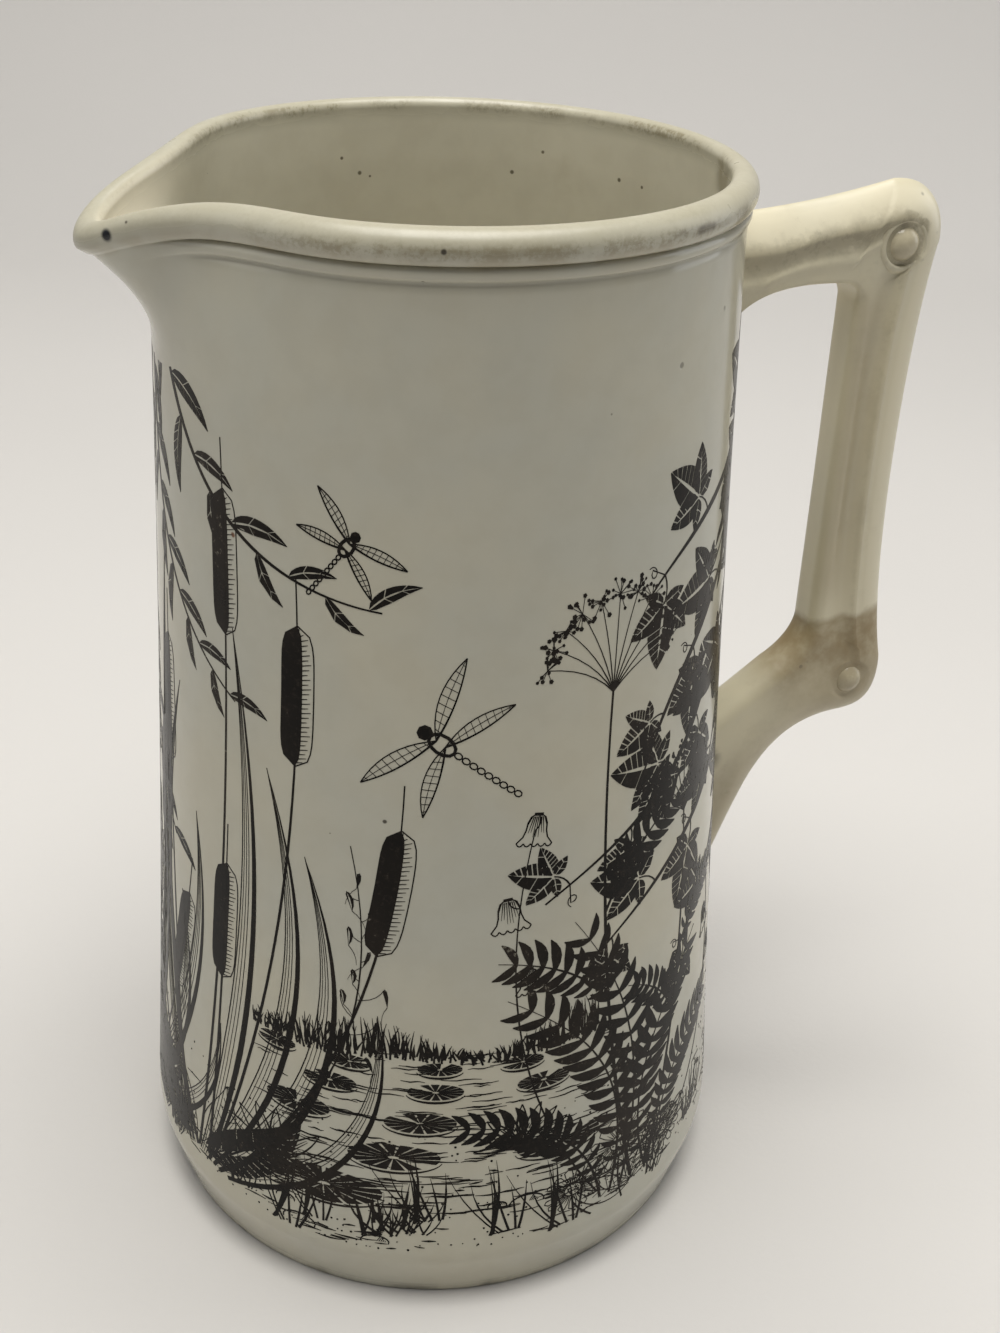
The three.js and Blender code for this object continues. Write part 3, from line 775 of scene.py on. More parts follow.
def wall_tree():
    """Turns the profile once round, then draws one side of the rim out and down into the lip."""
    nodes, value = node_group("Thrown wall with a drawn lip", {
        "Int": "Turns, Rows",
        "Float": "Ease, Lip reach, Lip drop, Lip start, Lip top, Lip half angle, Drop half angle, Pinch, "
                 "Pinch angle, Pinch half angle, Bead fade",
        "Material": "Material"})
    columns = value["Turns"] + 1
    grid = nodes.add("GeometryNodeMeshGrid", {"Vertices X": columns, "Vertices Y": value["Rows"]})
    index = nodes.wire(nodes.add("GeometryNodeInputIndex"))
    column = nodes.math("FLOOR", (index + 0.5) / value["Rows"])
    row = index - column * value["Rows"]

    def sample(kind, field):
        return nodes.add("GeometryNodeSampleIndex", {
            "Geometry": value["Geometry"], "Value": field, "Index": row}, data_type=kind)

    here = nodes.add("ShaderNodeSeparateXYZ", {
        0: sample("FLOAT_VECTOR", nodes.add("GeometryNodeInputPosition"))}, out=None)
    radius, z = nodes.wire(here.outputs[0]), nodes.wire(here.outputs[2])
    relief = nodes.wire(sample("FLOAT", nodes.add("GeometryNodeInputNamedAttribute", {"Name": "relief"})))
    inside = sample("FLOAT", nodes.add("GeometryNodeInputNamedAttribute", {"Name": "inside"}))
    turn = column / value["Turns"] * (2 * math.pi)
    turn = turn + value["Ease"] * nodes.math("SINE", turn)
    off = turn - math.pi
    swell = nodes.math("EXPONENT", 0.0 - (off / value["Lip half angle"]) ** 2.0)
    aside = (nodes.math("ABSOLUTE", off) - value["Pinch angle"]) / value["Pinch half angle"]
    pinch = nodes.math("EXPONENT", 0.0 - nodes.math("ABSOLUTE", aside) ** 2.0)
    half = nodes.math("COSINE", off / 2.0)
    narrow = nodes.math("ABSOLUTE", off / value["Drop half angle"])
    sink = half * half / (1.0 + narrow * narrow)
    faded = nodes.math("ABSOLUTE", off / value["Bead fade"])
    fade = 1.0 - nodes.math("EXPONENT", 0.0 - faded ** 4.0)
    rise = ((z - value["Lip start"]) / (value["Lip top"] - value["Lip start"])).clamped()
    radius = radius + relief * fade + (value["Lip reach"] * swell - value["Pinch"] * pinch) * rise ** 3.0
    lowered = z - value["Lip drop"] * sink * rise * rise * (3.0 - 2.0 * rise)
    point = nodes.add("ShaderNodeCombineXYZ", {
        0: radius * nodes.math("COSINE", turn), 1: radius * nodes.math("SINE", turn), 2: lowered})
    kept = nodes.add("GeometryNodeStoreNamedAttribute", {
        "Geometry": grid, "Name": "inside", "Value": inside}, data_type="FLOAT", domain="POINT")
    kept = nodes.add("GeometryNodeStoreNamedAttribute", {
        "Geometry": kept, "Name": "blank_height", "Value": z}, data_type="FLOAT", domain="POINT")
    placed = nodes.add("GeometryNodeSetPosition", {"Geometry": kept, "Position": point})
    closed = nodes.add("GeometryNodeMergeByDistance", {"Geometry": placed, "Distance": 2e-6})
    soft = nodes.add("GeometryNodeSetShadeSmooth", {"Geometry": closed, "Shade Smooth": True})
    return finish_group(nodes, soft, value["Material"])


class JUG_OT_wall(bpy.types.Operator):
    """Make the glazed wall with its rim mouldings, bevelled foot and drawn lip"""
    bl_idname = "jug.wall"
    bl_label = "Wall"

    def execute(self, context):
        s = sizes()
        rows = wall_profile()
        outline = mesh_from("wall_profile", [(r, 0, z) for r, z, _, _ in rows], [], {
            "relief": [row[2] * MM for row in rows], "inside": [row[3] for row in rows]})
        piece = new_object("glazed_wall", outline)
        apply_group(piece, wall_tree(), {
            "Turns": s.turns, "Rows": len(rows), "Ease": COLUMN_EASE, "Lip reach": s.lip_reach,
            "Lip drop": s.lip_drop, "Lip start": s.lip_start, "Lip top": LIP_FULL_MM * MM,
            "Lip half angle": s.lip_width, "Drop half angle": s.drop_width, "Pinch": s.pinch,
            "Pinch angle": s.pinch_turn, "Pinch half angle": s.pinch_width, "Bead fade": s.bead_fade,
            "Material": body_glaze()})
        turn_outwards(piece.data)
        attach(piece, BODY)
        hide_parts("body_wall")
        return {"FINISHED"}


class JUG_OT_base(bpy.types.Operator):
    """Make the disc that closes the foot"""
    bl_idname = "jug.base"
    bl_label = "Base disc"

    def execute(self, context):
        outer = BASE_MM - BASE_GAP_MM
        profile = [(0, 0), (outer * BASE_RINGS[0], 0), (outer * BASE_RINGS[1], 0), (outer - 2, 0)]
        profile += quadratic((outer - BASE_ROUND_MM, 0), (outer, 0), (outer, BASE_ROUND_MM), 5)
        profile += quadratic((outer, FLOOR_MM - BASE_EDGE_MM), (outer, FLOOR_MM),
                             (outer - BASE_EDGE_MM, FLOOR_MM), 3)
        profile += [(outer * share, FLOOR_MM) for share in reversed(BASE_RINGS)] + [(0, FLOOR_MM)]
        points, faces = lathe(profile, BASE_STEPS)
        piece = new_object("base_bat", mesh_from("base_bat", points, faces))
        tidy_mesh(piece.data)
        piece.data.materials.append(bare_ware())
        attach(piece, BODY)
        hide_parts("base_disc")
        return {"FINISHED"}


# The cast handle


def cubic(a, b, c, d, count):
    out = []
    for t in spread(0, 1, count):
        s = 1 - t
        out.append(tuple(s ** 3 * a[i] + 3 * s * s * t * b[i] + 3 * s * t * t * c[i] + t ** 3 * d[i]
                         for i in range(2)))
    return out


def straight(a, b, count):
    return [toward(a, b, t) for t in spread(0, 1, count)]


def outer_rail():
    """The handle's outer outline, from the upper root round to the tail."""
    root = (wall_mm(ARM_TOP_MM) - ROOT_MM, ARM_TOP_MM)
    top = (ELBOW_X_MM - ELBOW_MM, ELBOW_Z_MM)
    side = (ELBOW_X_MM, ELBOW_Z_MM - ELBOW_MM)
    heel_side = (HEEL_X_MM, HEEL_Z_MM + HEEL_MM)
    heel_low = (HEEL_X_MM - 0.7 * HEEL_MM, HEEL_Z_MM)
    grip = side[1] - heel_side[1]
    tail = (wall_mm(TAIL_MM) - ROOT_MM, TAIL_MM)
    run, fall = heel_low[0] - tail[0], HEEL_Z_MM - TAIL_MM
    return [
        quadratic(root, ((root[0] + top[0]) / 2, (root[1] + top[1]) / 2 - ARM_SAG_MM), top, RUNS[0]),
        quadratic(top, (ELBOW_X_MM, ELBOW_Z_MM), side, RUNS[1]),
        cubic(side, (ELBOW_X_MM - ELBOW_FLARE_MM * 1.5, side[1] - grip / 5),
              (GRIP_OUT_MM - HEEL_FLARE_MM / 2, heel_side[1] + grip / 4), heel_side, RUNS[2]),
        quadratic(heel_side, (HEEL_X_MM + ELBOW_FLARE_MM / 2, HEEL_Z_MM), heel_low, RUNS[3]),
        cubic(heel_low, (tail[0] + run * 0.42, HEEL_Z_MM - fall * 0.02),
              (tail[0] + run * 0.42, TAIL_MM + fall * 0.71), tail, RUNS[4]),
    ]


def inner_rail():
    """The outline that faces the fingers, in five matching runs."""
    under = ARM_TOP_MM + ARM_RISE_MM / 2 - ARM_DEPTH_MM
    arm_end = (GRIP_IN_MM - ARM_CORNER_MM, under)
    fillet = (wall_mm(under) - ROOT_MM, under - ARM_FILLET_MM)
    grip_top = (GRIP_IN_MM, arm_end[1] - ARM_CORNER_MM)
    low_end = (GRIP_IN_MM - 0.8 * INNER_ELBOW_MM, LOWER_MM + LOWER_RISE_MM)
    grip_foot = (GRIP_IN_MM, low_end[1] + INNER_ELBOW_MM)
    root = (wall_mm(LOWER_MM) - ROOT_MM, LOWER_MM - ROOT_MM)
    arm = arm_end[0] - fillet[0]
    return [
        cubic(fillet, (fillet[0] + arm * 0.13, under - ARM_FILLET_MM * 0.25),
              (fillet[0] + arm * 0.3, under + ARM_ARCH_MM), arm_end, RUNS[0]),
        quadratic(arm_end, (GRIP_IN_MM, arm_end[1]), grip_top, RUNS[1]),
        straight(grip_top, grip_foot, RUNS[2]),
        quadratic(grip_foot, (GRIP_IN_MM, low_end[1] + INNER_ELBOW_MM * 0.45), low_end, RUNS[3]),
        straight(low_end, root, RUNS[4]),
    ]


class Form:
    """How the handle's side is moulded at one place along it, in millimetres and shares."""

    def __init__(self, panel, ramp, border, seam, hollow, ridge_at, corner, round_in, dirt):
        self.values = (panel, ramp, border, seam, hollow, ridge_at, corner, round_in, dirt)

    def between(self, other, t):
        return Form(*(lerp(a, b, t) for a, b in zip(self.values, other.values)))


# From the upper root (0 to 1) over the elbow, down the grip (2 to 3), round the heel to the tail (5)
FORMS = {
    0.0: Form(0.6, 2.6, 1.0, 0.0, 0.0, 11.8, 0.8, 0.8, 1.0),
    0.5: Form(0.6, 2.6, 1.0, 0.0, 0.0, 11.6, 0.8, 0.8, 1.0),
    1.0: Form(0.6, 2.6, 0.7, 0.0, 0.0, 11.6, 0.9, 0.9, 1.0),
    1.6: Form(0.5, 2.0, 0.0, 0.2, 0.1, 11.0, 1.1, 1.0, 0.6),
    2.1: Form(0.6, 2.0, 0.0, 0.6, 0.8, 9.4, 2.2, 2.0, 0.16),
    2.6: Form(0.6, 2.0, 0.0, 1.4, 0.9, 9.4, 2.4, 2.4, 0.12),
    3.2: Form(0.3, 3.0, 0.0, 0.3, 0.3, 9.4, 2.4, 3.0, 0.15),
    4.0: Form(0.12, 4.0, 0.0, 0.0, 0.0, 9.4, 3.2, 4.0, 0.25),
    5.0: Form(0.08, 5.0, 0.0, 0.0, 0.0, 9.4, 3.4, 4.2, 0.30),
}


def form_at(place_on):
    keys = sorted(FORMS)
    for a, b in zip(keys, keys[1:]):
        if place_on <= b:
            return FORMS[a].between(FORMS[b], smooth((place_on - a) / (b - a)))
    return FORMS[keys[-1]]


def handle_section(depth, half, form, fullness, down, up):
    """Half of the section as rows of distance from the outer edge, half width, grime, crown share for painted
    highlight, finger side.
    """
    panel, ramp, border, seam, hollow, ridge_at, corner, round_in, dirt = form.values
    side = depth / down - corner * up / down

    def width(d):
        sink = panel * smooth((d - CROWN_MM - 0.8 * seam) / ramp)
        sink = lerp(sink, 0.05, border * smooth((d - ridge_at + 1.3) / 1.6))
        sink += 0.4 * border * smooth((d - ridge_at - 0.4) / 2.0)
        sink -= 0.28 * seam * bump(d, CROWN_MM + 0.3, 0.8)
        sink += hollow * math.sin(math.pi * clamp((d - CROWN_MM - 0.8) / (side - CROWN_MM - 0.8))) ** 1.2
        return half - sink

    def grime(d):
        return clamp(dirt * bump(d, CROWN_MM + 1.0, 2.6) + 0.3 * seam * bump(d, CROWN_MM + 1.2, 0.5))

    rows = []
    # the crown's share sets where painted highlight is laid on its slopes
    for a in spread(0, math.pi / 2, 14):
        fall, out = max(math.cos(a), 0.0) ** fullness, math.sin(a) ** fullness
        d = CROWN_MM * (1 - fall)
        rows.append((d * down, half * out, grime(d), clamp(d / 1.5) * smooth((CROWN_MM - d) / 2.5), 0.0))
    stops = [CROWN_MM + 0.2 * k for k in range(1, 10)]
    stops += spread(CROWN_MM + 1.8, ridge_at + 0.6, 12)[1:]
    stops += spread(ridge_at + 0.6, side, 10)[1:]
    rows += [(d * down, width(d), grime(d), 0.0, 0.0) for d in stops]
    last = width(stops[-1])
    rows += [(depth - corner * up * (1 - math.sin(a)), last - round_in * (1 - math.cos(a)), 0.0, 0.0,
              smooth(2 * a / math.pi - 0.2))
             for a in spread(0, math.pi / 2, 9)[1:]]
    rows += [(depth, (last - round_in) * t, 0.0, 0.0, 1.0) for t in (0.66, 0.33)]
    return rows


def slant(rail, i, outward):
    """How much longer a distance square to a rail is along a slanting section, up to a limit."""
    a, b = rail[max(i - 1, 0)], rail[min(i + 1, len(rail) - 1)]
    square = abs(outward[0] * (b[1] - a[1]) - outward[1] * (b[0] - a[0])) / math.dist(a, b)
    return 1 / max(square, 1 / SLANT_LIMIT)


def handle_mesh(half):
    """Sweep of the section between the two rails, with round sinkings at the elbows."""
    points, floats = [], {"groove": [], "crown": [], "finger": []}
    stations = [(run + i / (len(outer) - 1), outer, inner, i)
                for run, (outer, inner) in enumerate(zip(outer_rail(), inner_rail()))
                for i in range(run > 0, len(outer))]
    for place_on, outer, inner, i in stations:
        o, n = outer[i], inner[i]
        depth = math.dist(o, n)
        outward = ((o[0] - n[0]) / depth, (o[1] - n[1]) / depth)
        fullness = lerp(ARM_CROWN_FULLNESS, GRIP_CROWN_FULLNESS, smooth(place_on - 1))
        down, up = slant(outer, i, outward), slant(inner, i, outward)
        section = handle_section(depth, half, form_at(place_on), fullness, down, up)
        ring = section + [(d, -y, *rest) for d, y, *rest in reversed(section[1:])]
        for d, y, groove, crown, finger in ring:
            x, z = o[0] - outward[0] * d, o[1] - outward[1] * d
            for cx, cz in BOSSES_MM.values():
                gap = math.hypot(x - cx, z - cz)
                hollow = smooth((SINKING_MM + 0.5 - gap) / SINKING_EDGE_MM)
                deep = SINKING_DEEP_MM * (UPPER_SINKING_SHARE if cz > GRIP_MIDDLE_MM else LOWER_SINKING_SHARE)
                deep = math.copysign(min(abs(y), half - deep), y)
                y = lerp(y, deep, hollow)
                if cz > GRIP_MIDDLE_MM:
                    # grime round the upper sinking, partly painted shade, reaching further above it
                    reach = SINKING_MM + SINKING_GRIME_AND_SHADE_MM + GRIME_AND_SHADE_ABOVE_MM * smooth((z - cz) / 4)
                    groove = max(groove, smooth((reach - gap) / 1.8))
                else:
                    groove = max(groove, 0.45 * bump(gap, BOSS_MM + 0.4, 0.7))
            # the luted joint flares out a little where it meets the wall
            lift = math.hypot(x, y) - wall_mm(z)
            flare = 1 + LUTE_FLARE * (1 - smooth(lift / LUTE_MM))
            points.append((x, y * flare, z))
            for values, value in zip(floats.values(), (groove, crown, finger)):
                values.append(value)
    faces = quads(len(stations), len(ring), turn=True)
    faces.append(tuple(range(len(ring))))
    faces.append(tuple(reversed(range(len(points) - len(ring), len(points)))))
    return points, faces, floats


def ring_mould(centre, side, half, start):
    """The soft raised ring round a sinking, as a closed turned band; its faces count points from start."""
    inner, outer = SINKING_MM, SINKING_MM + RING_MM
    low = half - SINKING_DEEP_MM - RING_ROOT_MM
    high = half - (UPPER_RING_SET_MM if centre[1] > GRIP_MIDDLE_MM else LOWER_RING_SET_MM)
    profile = [(inner, low), (inner, high - RING_ROUND_MM)]
    profile += [(inner + RING_CREST_MM * (1 - math.cos(a)), high - RING_ROUND_MM * (1 - math.sin(a)))
                for a in spread(0, math.pi / 2, 6)][1:]
    profile += [(lerp(inner + RING_CREST_MM, outer + RING_SKIRT_MM, t), lerp(high, low, t ** 1.8))
                for t in spread(0, 1, 7)][1:]
    points = [(centre[0] + x, side * h, centre[1] + z) for r, h in profile for x, z in circle(r, ROUND_STEPS)]
    return points, quads(len(profile), ROUND_STEPS, start, turn=True, close=True)


class JUG_OT_handle(bpy.types.Operator):
    """Make the handle with its crown, sunk panels, border and ringed sinkings"""
    bl_idname = "jug.handle"
    bl_label = "Handle"

    def execute(self, context):
        half = sizes().handle_width / 2 / MM
        points, faces, floats = handle_mesh(half)
        for centre in BOSSES_MM.values():
            for side in (-1, 1):
                more, more_faces = ring_mould(centre, side, half, len(points))
                points += more
                faces += more_faces
                for values, value in zip(floats.values(), (RING_GRIME, 0.0, 0.0)):
                    values.extend([value] * len(more))
        mesh = mesh_from("cast_handle", points, faces, floats)
        piece = new_object("cast_handle", mesh)
        tidy_mesh(mesh)
        mesh.materials.append(handle_glaze())
        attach(piece, BODY)
        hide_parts("handle")
        return {"FINISHED"}


class JUG_OT_bosses(bpy.types.Operator):
    """Make the four small domes in the sinkings of the handle's elbows"""
    bl_idname = "jug.bosses"
    bl_label = "Bosses"

    def execute(self, context):
        material = boss_glaze()
        seat = sizes().handle_width / 2 / MM - SINKING_DEEP_MM
        ball = (BOSS_MM ** 2 + BOSS_RISE_MM ** 2) / (2 * BOSS_RISE_MM)
        reach = math.asin(BOSS_MM / ball)
        dome = [(0, 0), (BOSS_MM * 0.6, 0), (BOSS_MM, 0), (BOSS_MM, 0.12)]
        dome += [(ball * math.sin(a) * 0.995, BOSS_RISE_MM - ball * (1 - math.cos(a)) + 0.15 * a / reach)
                 for a in reversed(spread(0, reach * 0.97, 14))]
        dome[-1] = (0, BOSS_RISE_MM)
        dome_points, faces = lathe(dome, ROUND_STEPS)
        for level, (cx, cz) in BOSSES_MM.items():
            for hand, side in (("left", -1), ("right", 1)):
                points = [(cx + x, side * (seat + h), cz + y) for x, y, h in dome_points]
                name = f"dome_{level}_{hand}"
                mesh = mesh_from(name, points, faces)
                piece = new_object(name, mesh)
                tidy_mesh(mesh)
                mesh.materials.append(material)
                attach(piece, BODY)
                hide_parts(f"boss_{level}_{hand}")
        return {"FINISHED"}


# The transfer pattern, drawn flat in millimetres: x runs round the jug from its front, y is the height


class Plate:
    """A flat engraving made of strips, dots and patches."""

    WEIGHT = 1.15

    def __init__(self):
        self.points = []
        self.faces = []

    def strip(self, left, right, across=1):
        """Fills between two matching runs of points; left lies to the left of their direction."""
        self.faces += quads(len(left), across + 1, len(self.points))
        for a, b in zip(left, right):
            self.points += [toward(a, b, j / across) for j in range(across + 1)]

    def line(self, path, start, middle=None, end=None):
        """A stroke whose width runs from start over middle to end."""
        middle = start if middle is None else middle
        end = middle if end is None else end
        left, right = [], []
        last = len(path) - 1
        for i in range(len(path)):
            t = i / last
            w = lerp(start, middle, smooth(t * 2)) if t < 0.5 else lerp(middle, end, smooth(t * 2 - 1))
            w *= self.WEIGHT / 2
            left.append(beside(path, i, w))
            right.append(beside(path, i, -w))
        self.strip(left, right)

    def dot(self, x, y, radius, sides):
        start = len(self.points)
        self.points += [(x + u, y + v) for u, v in circle(radius, sides)]
        self.faces.append(tuple(range(start, start + sides)))

    def ring(self, x, y, rx, ry, width, tilt, count=18):
        path = [turned((rx * math.cos(a), ry * math.sin(a)), tilt, x, y)
                for a in spread(0, 2 * math.pi, count)]
        self.line(path, width)

    def patch(self, outline):
        start = len(self.points)
        self.points += list(outline)
        for tri in tessellate_polygon([[Vector((x, y, 0)) for x, y in outline]]):
            (ax, ay), (bx, by), (cx, cy) = (outline[i] for i in tri)
            if (bx - ax) * (cy - ay) - (cx - ax) * (by - ay) < 0:
                tri = tuple(reversed(tri))
            self.faces.append(tuple(start + i for i in tri))


def normal_at(path, i):
    """Unit vector to the left of a path at one of its points."""
    a, b = path[max(i - 1, 0)], path[min(i + 1, len(path) - 1)]
    dx, dy = b[0] - a[0], b[1] - a[1]
    size = math.hypot(dx, dy) or 1.0
    return -dy / size, dx / size


def beside(path, i, reach):
    """The point that lies to the left of a path's point by a distance."""
    (x, y), (nx, ny) = path[i], normal_at(path, i)
    return x + nx * reach, y + ny * reach


def toward(a, b, t):
    return lerp(a[0], b[0], t), lerp(a[1], b[1], t)


def midway(a, b):
    return (a[0] + b[0]) / 2, (a[1] + b[1]) / 2


def turned(point, tilt, x=0.0, y=0.0):
    c, s = math.cos(tilt), math.sin(tilt)
    return x + point[0] * c - point[1] * s, y + point[0] * s + point[1] * c


def bow(start, end, sag, count=10):
    """Curve between two points that swings to its left by a share of its length."""
    dx, dy = end[0] - start[0], end[1] - start[1]
    middle = ((start[0] + end[0]) / 2 - dy * sag * 2, (start[1] + end[1]) / 2 + dx * sag * 2)
    return quadratic(start, middle, end, count)


def along(path, t):
    """Point and heading at a share of a path."""
    place_at = clamp(t) * (len(path) - 1)
    i = min(int(place_at), len(path) - 2)
    f = place_at - i
    a, b = path[i], path[i + 1]
    return toward(a, b, f), math.atan2(b[1] - a[1], b[0] - a[0])


def polar(origin, heading, reach):
    return origin[0] + reach * math.cos(heading), origin[1] + reach * math.sin(heading)


def dark_leaf(plate, root, tip, sag, width, veins=6, gap=0.26):
    """A leaf filled with ink on one side of its midrib and closely hatched on the other."""
    spine = bow(root, tip, sag, 24)

    def edge(t, side, share):
        (x, y), heading = along(spine, t)
        half = width / 2 * math.sin(math.pi * clamp(t) ** 0.75) ** 0.85 * share
        return x - math.sin(heading) * side * half, y + math.cos(heading) * side * half

    trim = gap / max(math.dist(root, tip), 1) / 2
    for side, count in ((1, veins), (-1, veins * 3 if width > 3 else veins)):
        for i in range(count):
            ts = spread(i / count + trim, (i + 1) / count - trim, 3 if side > 0 else 1)
            outside = [edge(min(t + 0.10, 0.995), side, 1.0) for t in ts]
            rib = [edge(t, side, 0.0) for t in ts]
            rib = [toward(a, b, 0.10) for a, b in zip(rib, outside)]
            plate.strip(*((outside, rib) if side > 0 else (rib, outside)), across=2 if width > 4 else 1)


def open_leaf(plate, root, tip, sag, width, line=0.22, hatch=9):
    """A leaf in outline with a midrib and hatching on its shaded side."""
    spine = bow(root, tip, sag, 16)
    edges = {1: [], -1: []}
    for i in range(len(spine)):
        half = width / 2 * math.sin(math.pi * (i / 16) ** 0.8) ** 0.9
        for side in edges:
            edges[side].append(beside(spine, i, half * side))
    for side in edges:
        plate.line(edges[side], line * 0.6, line, line * 0.6)
    plate.line(spine, line * 0.8, line * 0.7, line * 0.3)
    for i in range(1, hatch):
        t = i / hatch
        inner, _ = along(spine, t)
        outer, _ = along(edges[-1], min(t + 0.12, 1))
        plate.line([inner, midway(inner, outer), outer], 0.10, 0.14, 0.12)
        upper, _ = along(edges[1], min(t + 0.12, 1))
        plate.line([inner, toward(inner, upper, 0.55)], 0.10)


def strap_leaf(plate, root, tip, sag, width):
    """A long reed leaf: two edges, a dark shaded half and fine lines along it."""
    spine = bow(root, tip, sag, 22)
    halves = [width / 2 * (1 - (i / 22) ** 2.2) * (0.65 + 0.35 * min(1, i / 6)) for i in range(23)]
    runs = [[beside(spine, i, half * share) for i, half in enumerate(halves)]
            for share in (-1, -0.45, 0, 0.35, 0.7, 1)]
    plate.strip(runs[1], runs[0])
    plate.line(runs[2], 0.12)
    plate.line(runs[3], 0.10)
    plate.line(runs[4], 0.10)
    plate.line(runs[5], 0.24, 0.2, 0.1)


def bulrush(plate, root, top, sag, head=25.0, width=6.2):
    """A stem with a dark velvety head, lit on one side, and a thin spike above it."""
    stem = bow(root, top, sag, 26)
    plate.line(stem, 0.62, 0.46, 0.22)
    size = math.dist(root, top)
    low, high = 1 - (head + 8) / size, 1 - 8 / size
    left, lit, right = [], [], []
    for t in spread(0, 1, 16):
        (x, y), heading = along(stem, lerp(low, high, t))
        half = width / 2 * (1 - abs(2 * t - 1) ** 6) ** 0.5
        nx, ny = -math.sin(heading), math.cos(heading)
        for run, share in ((left, 1), (lit, -0.30), (right, -1)):
            run.append((x + nx * half * share, y + ny * half * share))
    plate.strip(left, lit, across=2)
    plate.line(right, 0.2)
    for k in range(1, 30):
        a, _ = along(lit, k / 30)
        b, _ = along(right, clamp((k + 0.7) / 30))
        reach = 0.45 + 0.4 * ((k * 7) % 5) / 5
        plate.line([a, toward(a, b, reach)], 0.16, 0.14, 0.08)


def fern(plate, root, tip, sag, width, pairs=15):
    """A frond of dark leaflets that grow smaller to the tip."""
    rib = bow(root, tip, sag, 24)
    plate.line(rib, 0.5, 0.32, 0.1)
    for i in range(pairs):
        t = 0.12 + 0.86 * i / pairs
        origin, heading = along(rib, t)
        reach = width / 2 * math.sin(math.pi * (0.18 + 0.8 * (1 - t))) ** 0.8
        for side in (1, -1):
            tip_at = polar(origin, heading + side * lerp(1.25, 0.75, t), reach)
            spine = bow(origin, tip_at, side * 0.10, 5)
            left, right = [], []
            for k in range(len(spine)):
                half = reach * 0.15 * math.sin(math.pi * (0.12 + 0.86 * k / 5)) + 0.04
                left.append(beside(spine, k, half))
                right.append(beside(spine, k, -half))
            plate.strip(left, right)


def ivy_leaf(plate, origin, heading, size):
    """Five dark lobes about one root."""
    for turn, share, broad in ((0.0, 1.0, 0.60), (0.95, 0.80, 0.52), (-0.95, 0.80, 0.52),
                               (1.95, 0.50, 0.50), (-1.95, 0.50, 0.50)):
        tip = polar(origin, heading + turn, size * share)
        dark_leaf(plate, polar(origin, heading + turn, 0.3), tip, 0.0, size * share * broad, veins=3, gap=0.2)


def willow(plate, root, reach, drop, rng):
    """A hanging willow wand with narrow leaves, dark on one side, set in turn."""
    wand = bow(root, (root[0] + reach, root[1] - drop), -0.16 if reach > 0 else 0.16, 40)
    plate.line(wand, 1.1, 0.6, 0.25)
    count = int(drop / 3.9)
    for i in range(count):
        origin, heading = along(wand, (i + 0.7) / count)
        side = 1 if i % 2 else -1
        size = rng.uniform(11, 14) * (1.05 - 0.35 * i / count)
        tip = polar(origin, heading + side * rng.uniform(0.3, 0.7), size)
        dark_leaf(plate, origin, tip, side * 0.1, size * 0.24, veins=3, gap=0.2)


def ivy_vine(plate, root, top, sway, waves, rng, leaf=7.0):
    """A climbing stem that sways from side to side and bears leaves in turn."""
    stem = []
    for t in spread(0, 1, 60):
        off = sway * math.sin(t * waves * 2 * math.pi) * (0.4 + 0.6 * t)
        stem.append((lerp(root[0], top[0], t) + off, lerp(root[1], top[1], t)))
    plate.line(stem, 0.3, 1.2, 0.3)
    count = int(math.dist(root, top) / (leaf * 0.82))
    for i in range(count):
        origin, heading = along(stem, (i + 0.6) / count)
        side = 1 if i % 2 else -1
        aim = heading + side * rng.uniform(0.8, 1.35)
        size = leaf * rng.uniform(0.75, 1.1) * (1.05 - 0.35 * i / count)
        joint = polar(origin, aim, size * 0.45)
        plate.line(bow(origin, joint, side * 0.12, 4), 0.3, 0.25, 0.2)
        ivy_leaf(plate, joint, aim - side * rng.uniform(0.0, 0.5), size)
        if i % 3 == 0:
            curl = [polar(polar(origin, heading - side * 1.1, 2.2 + 2.4 * t),
                          heading - side * 1.1 + 7 * t, 1.5 * (1 - t)) for t in spread(0, 1, 12)]
            plate.line([origin] + curl, 0.2, 0.16, 0.12)


def umbel(plate, root, top, sag, reach, rng):
    """A tall hollow stem with a flat head of tiny florets on fine rays."""
    stem = bow(root, top, sag, 20)
    plate.line(stem, 0.8, 0.55, 0.35)
    _, heading = along(stem, 1)
    for k in range(11):
        fan = (k - 5) / 5
        tip = polar(top, heading + fan * 1.15, reach * (1 - 0.16 * fan * fan))
        plate.line(bow(top, tip, -0.10 * fan, 6), 0.22, 0.16, 0.12)
        for _ in range(14):
            spray = polar(tip, rng.uniform(0, 2 * math.pi), rng.uniform(0.3, reach * 0.19))
            plate.line([tip, spray], 0.10)
            plate.dot(spray[0], spray[1], rng.uniform(0.28, 0.5), 5)
    for t, side in ((0.42, 1), (0.6, -1)):
        origin, heading = along(stem, t)
        fern(plate, origin, polar(origin, heading + side * 0.9, reach * 1.5), side * -0.12, reach * 0.75, 9)


